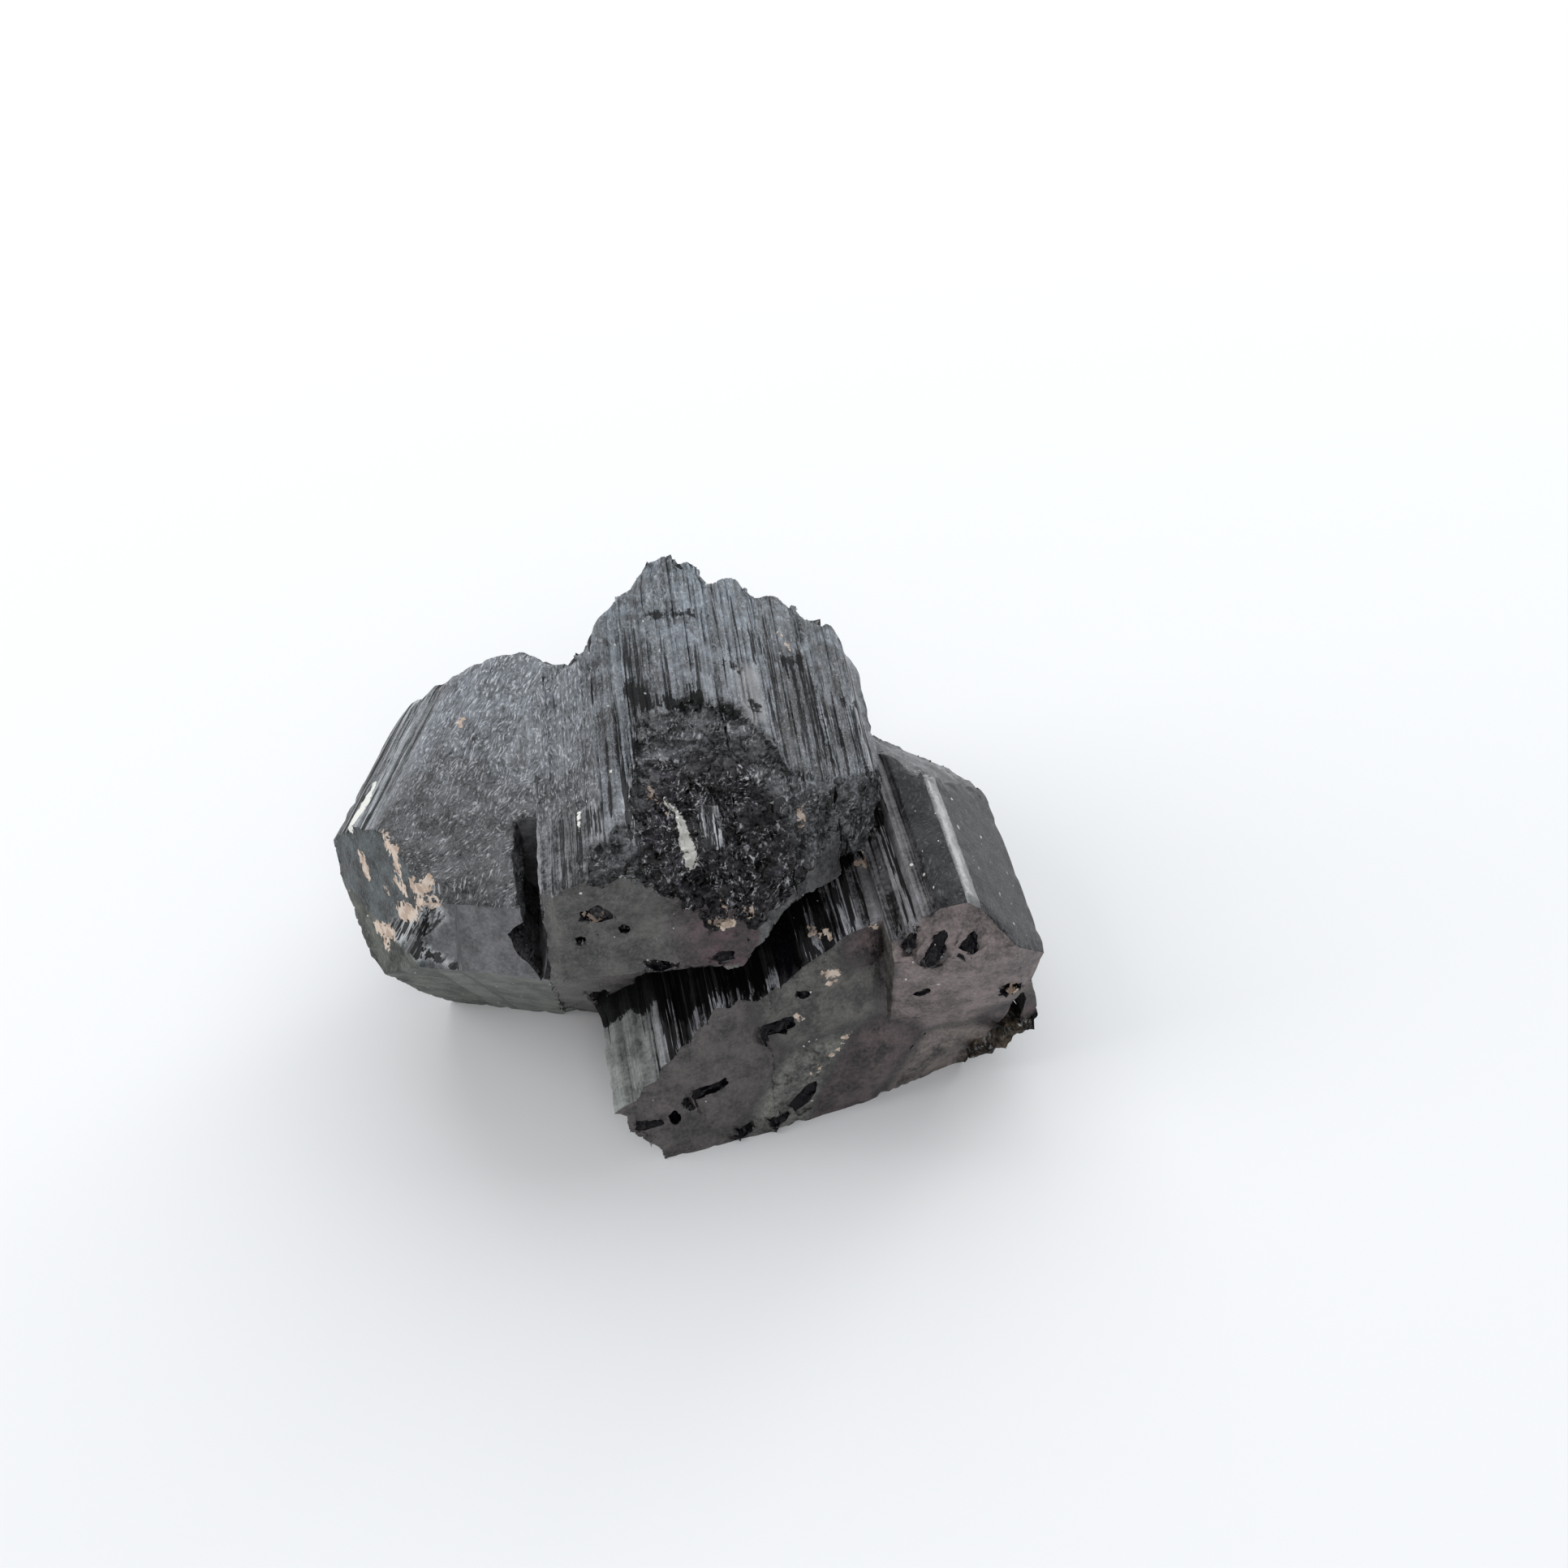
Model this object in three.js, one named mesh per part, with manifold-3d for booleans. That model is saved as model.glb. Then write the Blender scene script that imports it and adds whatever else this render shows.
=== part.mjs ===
// Black tourmaline specimen: short, thick schorl crystals grown together in two tiers.
// Millimetres, +Z up. The origin lies on the plane that the specimen rests on, under the lower
// tier, and -Y is the side that the crystals' ends face.
//
// Each crystal is a striated prism along its own c axis, which lies level and is turned about Z
// by its azimuth. In a crystal's frame u is to the right seen from the front, w is up and s runs
// forwards along the c axis. A plane is given by a point [u, w, s] on it, and by how many degrees
// its outer side turns to the right of the c axis and rises.
import * as THREE from "three";
import { mergeVertices } from "three/addons/utils/BufferGeometryUtils.js";
import Module from "manifold-3d";

const wasm = await Module();
wasm.setup();

// ---- Driving dimensions ------------------------------------------------------------------

const LEFT = -12; // azimuth of the left crystal's c axis, degrees to the right
const MAIN = 7.4; // azimuth of the main crystal
const LOWER = 11.1; // azimuth of the three crystals of the lower tier
const MAIN_RIM = 20; // height of the main crystal's front rim, over the hollow
const SPAN = 160; // side of the block that stands for a half space
const SMOOTH = { pitch: SPAN }; // the ridges of an outline that has none

// ---- Numbers and frames --------------------------------------------------------------------

const radians = THREE.MathUtils.degToRad;

// A repeatable random number in 0..1 for a key.
function hash(key) {
  const x = Math.sin(key * 127.1 + 311.7) * 43758.5453;
  return x - Math.floor(x);
}

// The value at x of a line through points [x, value], level beyond its ends.
function along(points, x) {
  const next = points.findIndex(([at]) => at > x);
  if (next === 0) return points[0][1];
  if (next === -1) return points[points.length - 1][1];
  const [fromX, from] = points[next - 1];
  const [toX, to] = points[next];
  return THREE.MathUtils.mapLinear(x, fromX, toX, from, to);
}

// The matrix that carries (u, w, s) of a crystal into the part's frame.
function crystalFrame(azimuth) {
  const a = radians(azimuth);
  return new THREE.Matrix4().makeBasis(
    new THREE.Vector3(Math.cos(a), Math.sin(a), 0),
    new THREE.Vector3(0, 0, 1),
    new THREE.Vector3(Math.sin(a), -Math.cos(a), 0),
  );
}

function facing(azimuth, turn, rise) {
  const [a, e] = [radians(azimuth + turn), radians(rise)];
  return new THREE.Vector3(
    Math.sin(a) * Math.cos(e),
    -Math.cos(a) * Math.cos(e),
    Math.sin(e),
  );
}

// ---- Solids --------------------------------------------------------------------------------

// A closed three.js geometry as a manifold solid.
function solidOf(geometry) {
  const bare = geometry.clone();
  bare.deleteAttribute("normal");
  bare.deleteAttribute("uv");
  const merged = mergeVertices(bare, 1e-4);
  return new wasm.Manifold(
    new wasm.Mesh({
      numProp: 3,
      vertProperties: merged.attributes.position.array,
      triVerts: new Uint32Array(merged.index.array),
    }),
  );
}

// A manifold solid as a three.js geometry.
function geometryOf(solid) {
  const mesh = solid.getMesh();
  return new THREE.BufferGeometry()
    .setAttribute("position", new THREE.BufferAttribute(new Float32Array(mesh.vertProperties), 3))
    .setIndex(new THREE.BufferAttribute(new Uint32Array(mesh.triVerts), 1));
}

const union = (solids) => solids.reduce((whole, solid) => whole.add(solid));

// Parts the sides of an outline into strips about pitch wide, whose edges stand in by up to
// depth: the long ridges of a striated prism. sides gives the first and last side that has them.
function striated(outline, { pitch = 1.6, depth = 0.35, seed = 1, sides = [0, 99] } = {}) {
  const points = [];
  outline.forEach(([u, w], i) => {
    const [nextU, nextW] = outline[(i + 1) % outline.length];
    const length = Math.hypot(nextU - u, nextW - w);
    const ridged = i >= sides[0] && i <= sides[1];
    const strips = ridged ? Math.max(1, Math.round(length / pitch)) : 1;
    const [inU, inW] = [-(nextW - w) / length, (nextU - u) / length];
    points.push(new THREE.Vector2(u, w));
    for (let k = 1; k < strips; k += 1) {
      const key = seed * 97 + i * 31 + k;
      const part = (k + 0.6 * (hash(key) - 0.5)) / strips;
      const inwards = depth * (k % 2 ? 0.4 + 0.6 * hash(key + 0.5) : 0.15 * hash(key + 0.25));
      points.push(
        new THREE.Vector2(
          u + (nextU - u) * part + inU * inwards,
          w + (nextW - w) * part + inW * inwards,
        ),
      );
    }
  });
  return points;
}

// A striated prism from back to front. outline runs anticlockwise in (u, w).
function prism(azimuth, outline, back, front, ridges) {
  const shape = new THREE.Shape(striated(outline, ridges));
  const geometry = new THREE.ExtrudeGeometry(shape, { depth: front - back, bevelEnabled: false });
  geometry.translate(0, 0, back);
  return solidOf(geometry.applyMatrix4(crystalFrame(azimuth)));
}

// Cuts away all that lies beyond a plane of a crystal's frame.
function cut(solid, azimuth, { at, turn, rise }) {
  const point = new THREE.Vector3(...at).applyMatrix4(crystalFrame(azimuth));
  const turned = new THREE.Quaternion().setFromUnitVectors(
    new THREE.Vector3(0, 0, 1),
    facing(azimuth, turn, rise),
  );
  const block = new THREE.BoxGeometry(SPAN, SPAN, SPAN).translate(0, 0, SPAN / 2);
  block.applyQuaternion(turned).translate(point.x, point.y, point.z);
  return solid.subtract(solidOf(block));
}

const cutAll = (solid, azimuth, planes) =>
  planes.reduce((rest, plane) => cut(rest, azimuth, plane), solid);

// How far from its middle a lump's corners lie, as a share of its half size.
const LUMP_LEAST = 0.72;
const LUMP_SPREAD = 0.4;

// A rough lump: an icosahedron with its corners moved in and out, long along a line that tilts
// from u towards w.
function lump(azimuth, { at, size: [length, height, thick], tilt = 0, seed = 1 }) {
  const geometry = new THREE.IcosahedronGeometry(1, 1);
  const position = geometry.attributes.position;
  const corner = new THREE.Vector3();
  for (let i = 0; i < position.count; i += 1) {
    corner.fromBufferAttribute(position, i);
    const key = Math.round(corner.x * 50) * 7 + Math.round(corner.y * 50) * 131
      + Math.round(corner.z * 50) * 1009 + seed * 17;
    corner.multiplyScalar(LUMP_LEAST + LUMP_SPREAD * hash(key));
    position.setXYZ(i, corner.x, corner.y, corner.z);
  }
  geometry.scale(length / 2, height / 2, thick / 2).rotateZ(radians(tilt)).translate(...at);
  return solidOf(geometry.applyMatrix4(crystalFrame(azimuth)));
}

// ---- Upper tier: the left crystal ------------------------------------------------------------

const LEFT_OUTLINE = [
  [-25.5, 0], [-8, 0], [-8, 29], [-15, 29.6], [-21.7, 30.5], [-24.7, 29.9], [-28.9, 27.2],
  [-32.4, 24.6], [-35.3, 20.6], [-34.5, 17.5], [-30, 12.5],
];

const LEFT_FACES = [
  { at: [-15.6, 19.4, 15.5], turn: 0, rise: 12 }, // the end face
  { at: [-12.6, 19.3, 15.3], turn: 4, rise: -29 }, // the bevel under it
  { at: [-22, 22, 14.8], turn: -41, rise: 13 }, // the glossy face at its left
  { at: [-28.9, 14, 12.6], turn: -40, rise: -26 },
  { at: [-18, 29.6, 1], turn: 0, rise: 81 }, // the top wears down towards the front
  { at: [-18, 28.4, 12], turn: -6, rise: 48 },
  { at: [-24.7, 30, -16], turn: -168, rise: 8 }, // the broken back
  { at: [-20, 26, -17.7], turn: 178, rise: 2 },
  { at: [-24, 14, -15], turn: 186, rise: -34 },
];

function leftCrystal() {
  return cutAll(prism(LEFT, LEFT_OUTLINE, -19, 18, { seed: 3, sides: [2, 10] }), LEFT, LEFT_FACES);
}

// ---- Upper tier: the main crystal ----------------------------------------------------------------

// Columns of parallel growth, side by side, each broken off at its own place at the back and, on
// the right, in front too.
const MAIN_COLUMNS = [
  { outline: [[-14.3, 0], [-11, 6], [-9, 14], [-9, 32], [-14.2, 29.4]], back: -21, front: 16 },
  {
    outline: [[-9.4, 8], [-4.6, 19.4], [-4.6, 33.6], [-7, 33.2], [-9.4, 31.8]],
    back: -27,
    front: 16,
  },
  {
    outline: [[-5, MAIN_RIM - 0.8], [2.4, MAIN_RIM], [2.4, 35.1], [1, 35.2], [-2, 34.6], [-5, 33.8]],
    back: -30.7,
    front: 16,
  },
  {
    outline: [[2, MAIN_RIM], [3.6, MAIN_RIM + 0.2], [4.4, MAIN_RIM + 1.4], [4.4, 34.9], [2, 35.1]],
    back: -29.6,
    front: 16,
  },
  {
    outline: [[4, MAIN_RIM + 1], [6.2, MAIN_RIM + 3.6], [9.2, MAIN_RIM + 4], [9.2, 33.4], [4, 34.4]],
    back: -27.8,
    front: 16,
  },
  { outline: [[9, MAIN_RIM + 4], [14, MAIN_RIM + 2], [14, 31.4], [9, 33]], back: -26.4, front: 12 },
  {
    outline: [[13.8, MAIN_RIM + 2], [18.4, MAIN_RIM + 2], [19, 27.4], [17.4, 29.6], [13.8, 31.2]],
    back: -25,
    front: 2,
  },
];

const MAIN_FACES = [
  { at: [2.3, MAIN_RIM, 12.4], turn: 0, rise: 12 }, // the end face
  { at: [2.3, MAIN_RIM, 12.4], turn: 0, rise: -31 }, // the bevel under it
  { at: [-12.9, 25, 11.35], turn: -42, rise: 9 }, // the corner beside the cleft
  { at: [6.2, 23, 11.7], turn: 46, rise: 14 }, // the slanted face at its right
  { at: [-7, 33, -23.8], turn: -126, rise: 15 }, // the broken back
  { at: [0, 26, -30], turn: 184, rise: -32 },
  { at: [12, 24, -20], turn: 160, rise: -48 },
  { at: [-9, 20, -19.5], turn: 212, rise: -34 },
];

function mainCrystal() {
  const columns = MAIN_COLUMNS.map(({ outline, back, front }, i) =>
    prism(MAIN, outline, back, front, { seed: 11 + i, sides: [1, 9] }));
  return cutAll(union(columns), MAIN, MAIN_FACES);
}

// The band on the main crystal's top where its columns are broken off, from a shoulder down to
// the end face. Everything over this rugged surface is cut away.
const BAND = { u: [-9.6, 20.4], s: [-9.5, 15.5], cell: 0.95, ceiling: 40, rough: 1.1 };
// Each line below runs from left to right as points [u, s] or [u, w].
const BAND_SHOULDER = [
  [-9.5, 7], [-5.2, 5], [-4.8, -1], [-3.2, -7], [1, -8], [6, -6.5], [8, -3], [9, 1], [12, 2],
  [16, 0.6], [19, -5.5],
];
const BAND_TOP = [[-9.5, 32], [-5, 33.8], [1, 35], [6, 34.2], [9, 33], [14, 31], [17, 29.4], [19, 27.4]];
const BAND_FOOT = [[-9.5, 10.2], [5, 11.4], [14, 2.6], [20, 1.4]];
const BAND_FOOT_HEIGHT = [
  [-9.5, 31.4], [-5, 30.4], [-2, 29], [1, 26.4], [5, 25.6], [14, 25.4], [20, 25],
];
const BAND_REMNANT = { u: [0.4, 3.2], s: [2, 8.6], height: 31.4 }; // columns still standing in it

function bandHeight(u, s) {
  const shoulder = along(BAND_SHOULDER, u);
  if (s < shoulder) return along(BAND_TOP, u) + 1.5;
  const foot = Math.max(along(BAND_FOOT, u), shoulder + 1);
  const fall = Math.min((s - shoulder) / (foot - shoulder), 1);
  const slope = THREE.MathUtils.lerp(along(BAND_TOP, u) - 0.4, along(BAND_FOOT_HEIGHT, u), fall);
  const inRemnant = u > BAND_REMNANT.u[0] && u < BAND_REMNANT.u[1]
    && s > BAND_REMNANT.s[0] && s < BAND_REMNANT.s[1];
  const key = Math.round(u * 10) + Math.round(s * 10) * 313;
  const rough = BAND.rough * (hash(key) - 0.55) * Math.min(1, 4 * fall);
  return inRemnant ? Math.max(slope, BAND_REMNANT.height) : slope + rough;
}

function overTheBand() {
  const [width, depth] = [BAND.u[1] - BAND.u[0], BAND.s[1] - BAND.s[0]];
  const geometry = new THREE.BoxGeometry(
    width, 1, depth, Math.round(width / BAND.cell), 1, Math.round(depth / BAND.cell),
  );
  geometry.translate(BAND.u[0] + width / 2, 0, BAND.s[0] + depth / 2);
  const position = geometry.attributes.position;
  for (let i = 0; i < position.count; i += 1) {
    const [u, s] = [position.getX(i), position.getZ(i)];
    position.setY(i, position.getY(i) > 0 ? BAND.ceiling : bandHeight(u, s));
  }
  return solidOf(geometry.applyMatrix4(crystalFrame(MAIN)));
}

// The narrow cleft between the left crystal's end and the main crystal's.
const CLEFT_OUTLINE = [
  [-14.7, 19.8], [-14.2, 22], [-14.2, 40], [-17.6, 40], [-17.3, 31], [-15.9, 28.5], [-15.5, 25.8],
  [-17.4, 24.2],
];
const CLEFT_BACK = -0.5;
const CLEFT_FRONT = 20; // clear of both ends

function cleft() {
  return prism(MAIN, CLEFT_OUTLINE, CLEFT_BACK, CLEFT_FRONT, SMOOTH);
}

// ---- Lower tier -------------------------------------------------------------------------------

const FIRST = {
  outline: [[-6.3, 0], [5.2, 0], [5.2, 16.4], [-0.2, 16.1], [-10.6, 6.9]],
  ridges: { pitch: 1.3, depth: 0.8, seed: 21, sides: [2, 4] },
  back: -12,
  faces: [{ at: [-6.3, 0, 18.9], turn: 5.5, rise: 15 }],
};

const SECOND = {
  outline: [
    [4.8, 0], [25, 0], [27.6, 4.4], [17.6, 10.4], [16.6, 21], [12.6, 20], [8.1, 17.8], [4.8, 16.2],
  ],
  ridges: { seed: 22, sides: [4, 6] },
  back: -12,
  faces: [
    { at: [8.1, 17.8, 12.3], turn: 5.7, rise: 17 },
    { at: [9.3, 0, 17.2], turn: 9, rise: 5 },
    { at: [15, 0, 16.2], turn: 16, rise: 2 },
    { at: [21, 0, 15.2], turn: 25, rise: -3 },
    { at: [22, 3, -9], turn: 152, rise: 24 },
  ],
};

const RIGHT = {
  outline: [
    [17, 1.6], [25.4, 2.2], [27.5, 5], [28.8, 10.6], [30.6, 13.5], [31.9, 16.4],
    [24.9, 24.2], [23.7, 24.8], [20.9, 24.5], [19.4, 23.9], [16.4, 22.4],
  ],
  ridges: { pitch: 0.9, depth: 0.8, seed: 23, sides: [8, 9] },
  back: -16,
  faces: [
    { at: [24.5, 24.5, 13.3], turn: -5, rise: 31 }, // under the top
    { at: [28, 20.6, 15.9], turn: -2, rise: -7 }, // the end face
    { at: [28, 20.6, 15.9], turn: 27, rise: 0 }, // at its right
    { at: [24.4, 24.5, -4.5], turn: 130, rise: 48 },
    { at: [24, 14, -14], turn: 172, rise: -16 },
    { at: [29, 12, -11], turn: 118, rise: -22 },
  ],
};

function lowerTier() {
  return union([FIRST, SECOND, RIGHT].map(({ outline, back, ridges, faces }) =>
    cutAll(prism(LOWER, outline, back, 22, ridges), LOWER, faces)));
}

// A small broken crystal at the right end of the lower tier. It leans on the large one with a gap
// between them, and crumbs of the base stick to its foot.
const SPLINTER_OUTLINE = [
  [30.1, 6], [31.4, 5.2], [32, 7], [31.6, 9.4], [30.6, 13.8], [29.6, 13.2], [30.5, 9.6],
];
const CRUMBS = [
  { at: [30.6, 5.6, 12.6], size: [3.4, 2.6, 4], tilt: 20, seed: 41 },
  { at: [28.2, 4.7, 13], size: [4, 3, 4.4], tilt: 30, seed: 42 },
  { at: [26.4, 3.4, 13.4], size: [3.6, 2.4, 3.6], tilt: 25, seed: 43 },
  { at: [29, 4.6, 10.4], size: [4.4, 2.6, 5], tilt: 30, seed: 44 },
];

function splinter() {
  const shard = prism(LOWER, SPLINTER_OUTLINE, 8, 14, SMOOTH);
  return union([shard, ...CRUMBS.map((crumb) => lump(LOWER, crumb))]);
}

// ---- Pits in the end faces ----------------------------------------------------------------------

// How far forward a face lies at (u, w) of its crystal.
function reach({ at: [atU, atW, atS], turn, rise }, u, w) {
  const [t, e] = [radians(turn), radians(rise)];
  return atS - (u - atU) * Math.tan(t) - ((w - atW) * Math.tan(e)) / Math.cos(t);
}

const PIT_DEPTH = 1.3; // a pit's thickness for its height
const PIT_LEAST = 0.6;

// Each pit is [u, w, length, height, tilt] on its face.
const PITS = [
  {
    azimuth: MAIN,
    face: MAIN_FACES[0],
    pits: [
      [-9.6, 27.4, 2.6, 1.3, -25], [-6.9, 25.7, 1, 0.8, -20], [-10.9, 25, 0.9, 0.7, 0],
      [-3.9, 21.2, 2.6, 1.1, -8], [1.5, 26, 2.5, 2.6, 40], [4.9, 26.4, 3.2, 2.4, 15],
      [2.4, 21.8, 1.6, 0.9, 10],
    ],
  },
  {
    azimuth: LOWER,
    face: FIRST.faces[0],
    pits: [
      [-0.9, 7.1, 3.6, 1.3, 28], [-3.2, 6.2, 1.3, 1.3, 40], [-4.9, 4.9, 1.1, 1.6, 0],
      [-7, 4.8, 2.2, 0.8, -15], [1.9, 1, 1.8, 1, 35],
    ],
  },
  {
    azimuth: LOWER,
    face: SECOND.faces[0],
    pits: [[6.2, 12, 2.8, 1.6, 18], [8.4, 15.2, 1.5, 0.7, 0]],
  },
  {
    azimuth: LOWER,
    face: SECOND.faces[1],
    pits: [[8.2, 4.2, 3.9, 1.9, 62], [5.4, 1.8, 2.6, 1.1, 25]],
  },
  {
    azimuth: LOWER,
    face: RIGHT.faces[0],
    pits: [[20.8, 21.6, 3, 1.3, 62], [18.1, 22.4, 1.4, 0.7, 50], [24, 21.6, 1.8, 0.8, 70]],
  },
  {
    azimuth: LOWER,
    face: RIGHT.faces[1],
    pits: [[19.3, 14.9, 1.6, 0.8, 20], [28, 13.5, 2.4, 1.9, 75]],
  },
];

function pits() {
  return union(PITS.flatMap(({ azimuth, face, pits: list }) =>
    list.map(([u, w, length, height, tilt], i) =>
      lump(azimuth, {
        at: [u, w, reach(face, u, w)],
        size: [length, height, PIT_DEPTH * height + PIT_LEAST],
        tilt,
        seed: 51 + i,
      }))));
}

// Holes where pieces have fallen out of the broken band.
const BAND_HOLES = [
  { at: [3.4, 33.6, -0.6], size: [4.6, 2.4, 1.8], seed: 61 },
  { at: [-2, 31.4, 5.6], size: [2.6, 3, 2.6], seed: 62 },
  { at: [4, 27.6, 9.2], size: [2.6, 3.4, 2.6], seed: 63 },
  { at: [8.4, 31, 4.4], size: [2, 2.4, 2.2], seed: 64 },
  { at: [-4, 32.6, 1.4], size: [1.8, 2, 3], seed: 65 },
  { at: [14, 27.6, 2.6], size: [2.6, 1.6, 1.8], seed: 66 },
];

// The body that the crystals grow from, behind the hollow.
const ROOT_OUTLINE = [[-13, 0], [15, 0], [17.5, 10], [17, 22], [-12, 22], [-16, 8]];
const ROOT_FACES = [
  { at: [0, 24, -25], turn: 186, rise: -28 },
  { at: [14, 10, -13], turn: 138, rise: -8 },
  { at: [-9, 8, -11], turn: 228, rise: 4 },
];

function root() {
  const ridges = { pitch: 4, depth: 0.8, seed: 31 };
  return cutAll(prism(MAIN, ROOT_OUTLINE, -22, 0, ridges), MAIN, ROOT_FACES);
}

// ---- The specimen ----------------------------------------------------------------------------

const grown = union([
  leftCrystal(),
  mainCrystal().subtract(overTheBand()),
  root(),
  lowerTier(),
  splinter(),
]);
const holes = BAND_HOLES.map((hole) => lump(MAIN, hole));
const body = [cleft(), pits(), ...holes].reduce((rest, solid) => rest.subtract(solid), grown);

const tourmaline = new THREE.MeshStandardMaterial({
  color: 0x17181a,
  roughness: 0.35,
  metalness: 0,
});
const cluster = new THREE.Mesh(geometryOf(body), tourmaline);
cluster.name = "tourmaline_cluster";

const specimen = new THREE.Group();
specimen.add(cluster);
export default specimen;
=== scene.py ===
"""Black tourmaline specimen: the finish of its crystals, the studio around it and the camera.

The specimen is one piece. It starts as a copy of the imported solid, is cut into fine cells along
the axes of its crystals, and is then worn: ribs, broken bands, fractures and chips go inwards.
Lengths are in millimetres while the piece is made, and in metres once it is handed over. Each
crystal has a frame of its own: u to the right, w up and s forwards along its c axis.
"""

import logging
import math
import random
from bisect import bisect_right
from dataclasses import dataclass, field
from enum import Enum, IntEnum
from typing import Callable, Iterable

import bmesh
import bpy
from mathutils import Matrix, Vector, kdtree, noise


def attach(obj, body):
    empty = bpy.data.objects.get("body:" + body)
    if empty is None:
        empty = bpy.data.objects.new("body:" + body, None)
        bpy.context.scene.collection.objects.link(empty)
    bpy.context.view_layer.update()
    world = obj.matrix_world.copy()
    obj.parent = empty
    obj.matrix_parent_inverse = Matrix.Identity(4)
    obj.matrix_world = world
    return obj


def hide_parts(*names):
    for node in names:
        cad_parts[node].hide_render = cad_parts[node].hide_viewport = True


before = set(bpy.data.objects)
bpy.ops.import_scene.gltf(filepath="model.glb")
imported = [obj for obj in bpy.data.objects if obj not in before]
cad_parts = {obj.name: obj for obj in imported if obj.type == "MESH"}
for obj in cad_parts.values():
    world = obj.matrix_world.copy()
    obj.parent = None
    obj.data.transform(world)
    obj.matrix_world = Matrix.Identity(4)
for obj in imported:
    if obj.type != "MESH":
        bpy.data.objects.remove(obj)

MM = 0.001  # metres in a millimetre
NODE = "tourmaline_cluster"
BODY = "root"

log = logging.getLogger("specimen")


# ---- Small helpers ----


def chance(*keys: float) -> float:
    """A repeatable random number in 0..1 for up to four keys."""
    mixed = sum(key * factor for key, factor in zip(keys, (127.1, 311.7, 74.7, 193.3)))
    return math.modf(abs(math.sin(mixed + 0.5) * 43758.5453))[0]


def blend(low: float, high: float, x: float) -> float:
    """A smooth step of x from 0 at low to 1 at high."""
    t = min(1.0, max(0.0, (x - low) / (high - low)))
    return t * t * (3 - 2 * t)


def along(points: tuple[tuple[float, float], ...], x: float) -> float:
    """Reads a line through points (x, value), level beyond its ends.

    Args:
        points: what the line goes through, in rising order of x.
        x: where it is read.

    Returns:
        The value there.
    """
    if x <= points[0][0]:
        return points[0][1]
    for (from_x, from_y), (to_x, to_y) in zip(points, points[1:]):
        if x < to_x:
            return from_y + (to_y - from_y) * (x - from_x) / (to_x - from_x)
    return points[-1][1]


def rugged(point: Vector, size: float, octaves: int = 3, seed: float = 0.0) -> float:
    """Fractal noise about 0, within about 1, whose largest forms are about size across."""
    return noise.fractal(point / size + Vector((seed, 2 * seed, -seed)), 0.7, 2.1, octaves)


def steps(low: float, high: float, pitch: float) -> list[float]:
    """Evenly spaced cuts about pitch apart, strictly between low and high."""
    count = max(1, round((high - low) / pitch))
    return [low + (high - low) * k / count for k in range(1, count)]


def show(name: str, data: bpy.types.ID) -> bpy.types.Object:
    """An object of some data, shown in the scene."""
    shown = bpy.data.objects.new(name, data)
    bpy.context.scene.collection.objects.link(shown)
    return shown


def aim(item: bpy.types.Object, place: Vector, target: Vector) -> None:
    """Puts a lamp or a camera at a place and turns it to a target."""
    item.location = place
    item.rotation_euler = (target - place).to_track_quat("-Z", "Y").to_euler()


# ---- The crystals and their surfaces ----


class Crystal(IntEnum):
    """The crystals that differ in the direction of their level c axis."""

    LEFT = 0
    MAIN = 1
    LOWER = 2

    @property
    def frame(self) -> Matrix:
        """The matrix whose rows are the crystal's u, w and s axes."""
        a = math.radians(AZIMUTHS[self])
        return Matrix(((math.cos(a), math.sin(a), 0), (0, 0, 1), (math.sin(a), -math.cos(a), 0)))


# How far each one's c axis turns to the right of the front, in degrees.
AZIMUTHS = {Crystal.LEFT: -12.0, Crystal.MAIN: 7.4, Crystal.LOWER: 11.1}


class Surface(IntEnum):
    """The kinds of surface that the specimen has."""

    TOP = 0  # a prism face that looks up or down
    SIDE = 1  # a prism face that looks sideways
    END = 2  # a face that ends a crystal
    WORN = 3  # where a top is worn down towards the front
    BAND = 4  # where the main crystal's columns are broken off
    BREAK = 5  # the broken back and underside
    HOLLOW = 6  # pits, holes and lumps


Key = tuple[int, int]  # a crystal and a kind of surface, as numbers


def layers(form: bmesh.types.BMesh) -> tuple:
    """The layers of a labelled mesh that hold each face's crystal and kind of surface."""
    return form.faces.layers.int["crystal"], form.faces.layers.int["surface"]


def labels_of(mesh: bpy.types.Mesh) -> list[tuple[Crystal, Surface]]:
    """The crystal and the kind of surface of every face of a labelled mesh."""
    crystals, surfaces = (mesh.attributes[name].data for name in ("crystal", "surface"))
    return [(Crystal(a.value), Surface(b.value)) for a, b in zip(crystals, surfaces)]


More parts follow.
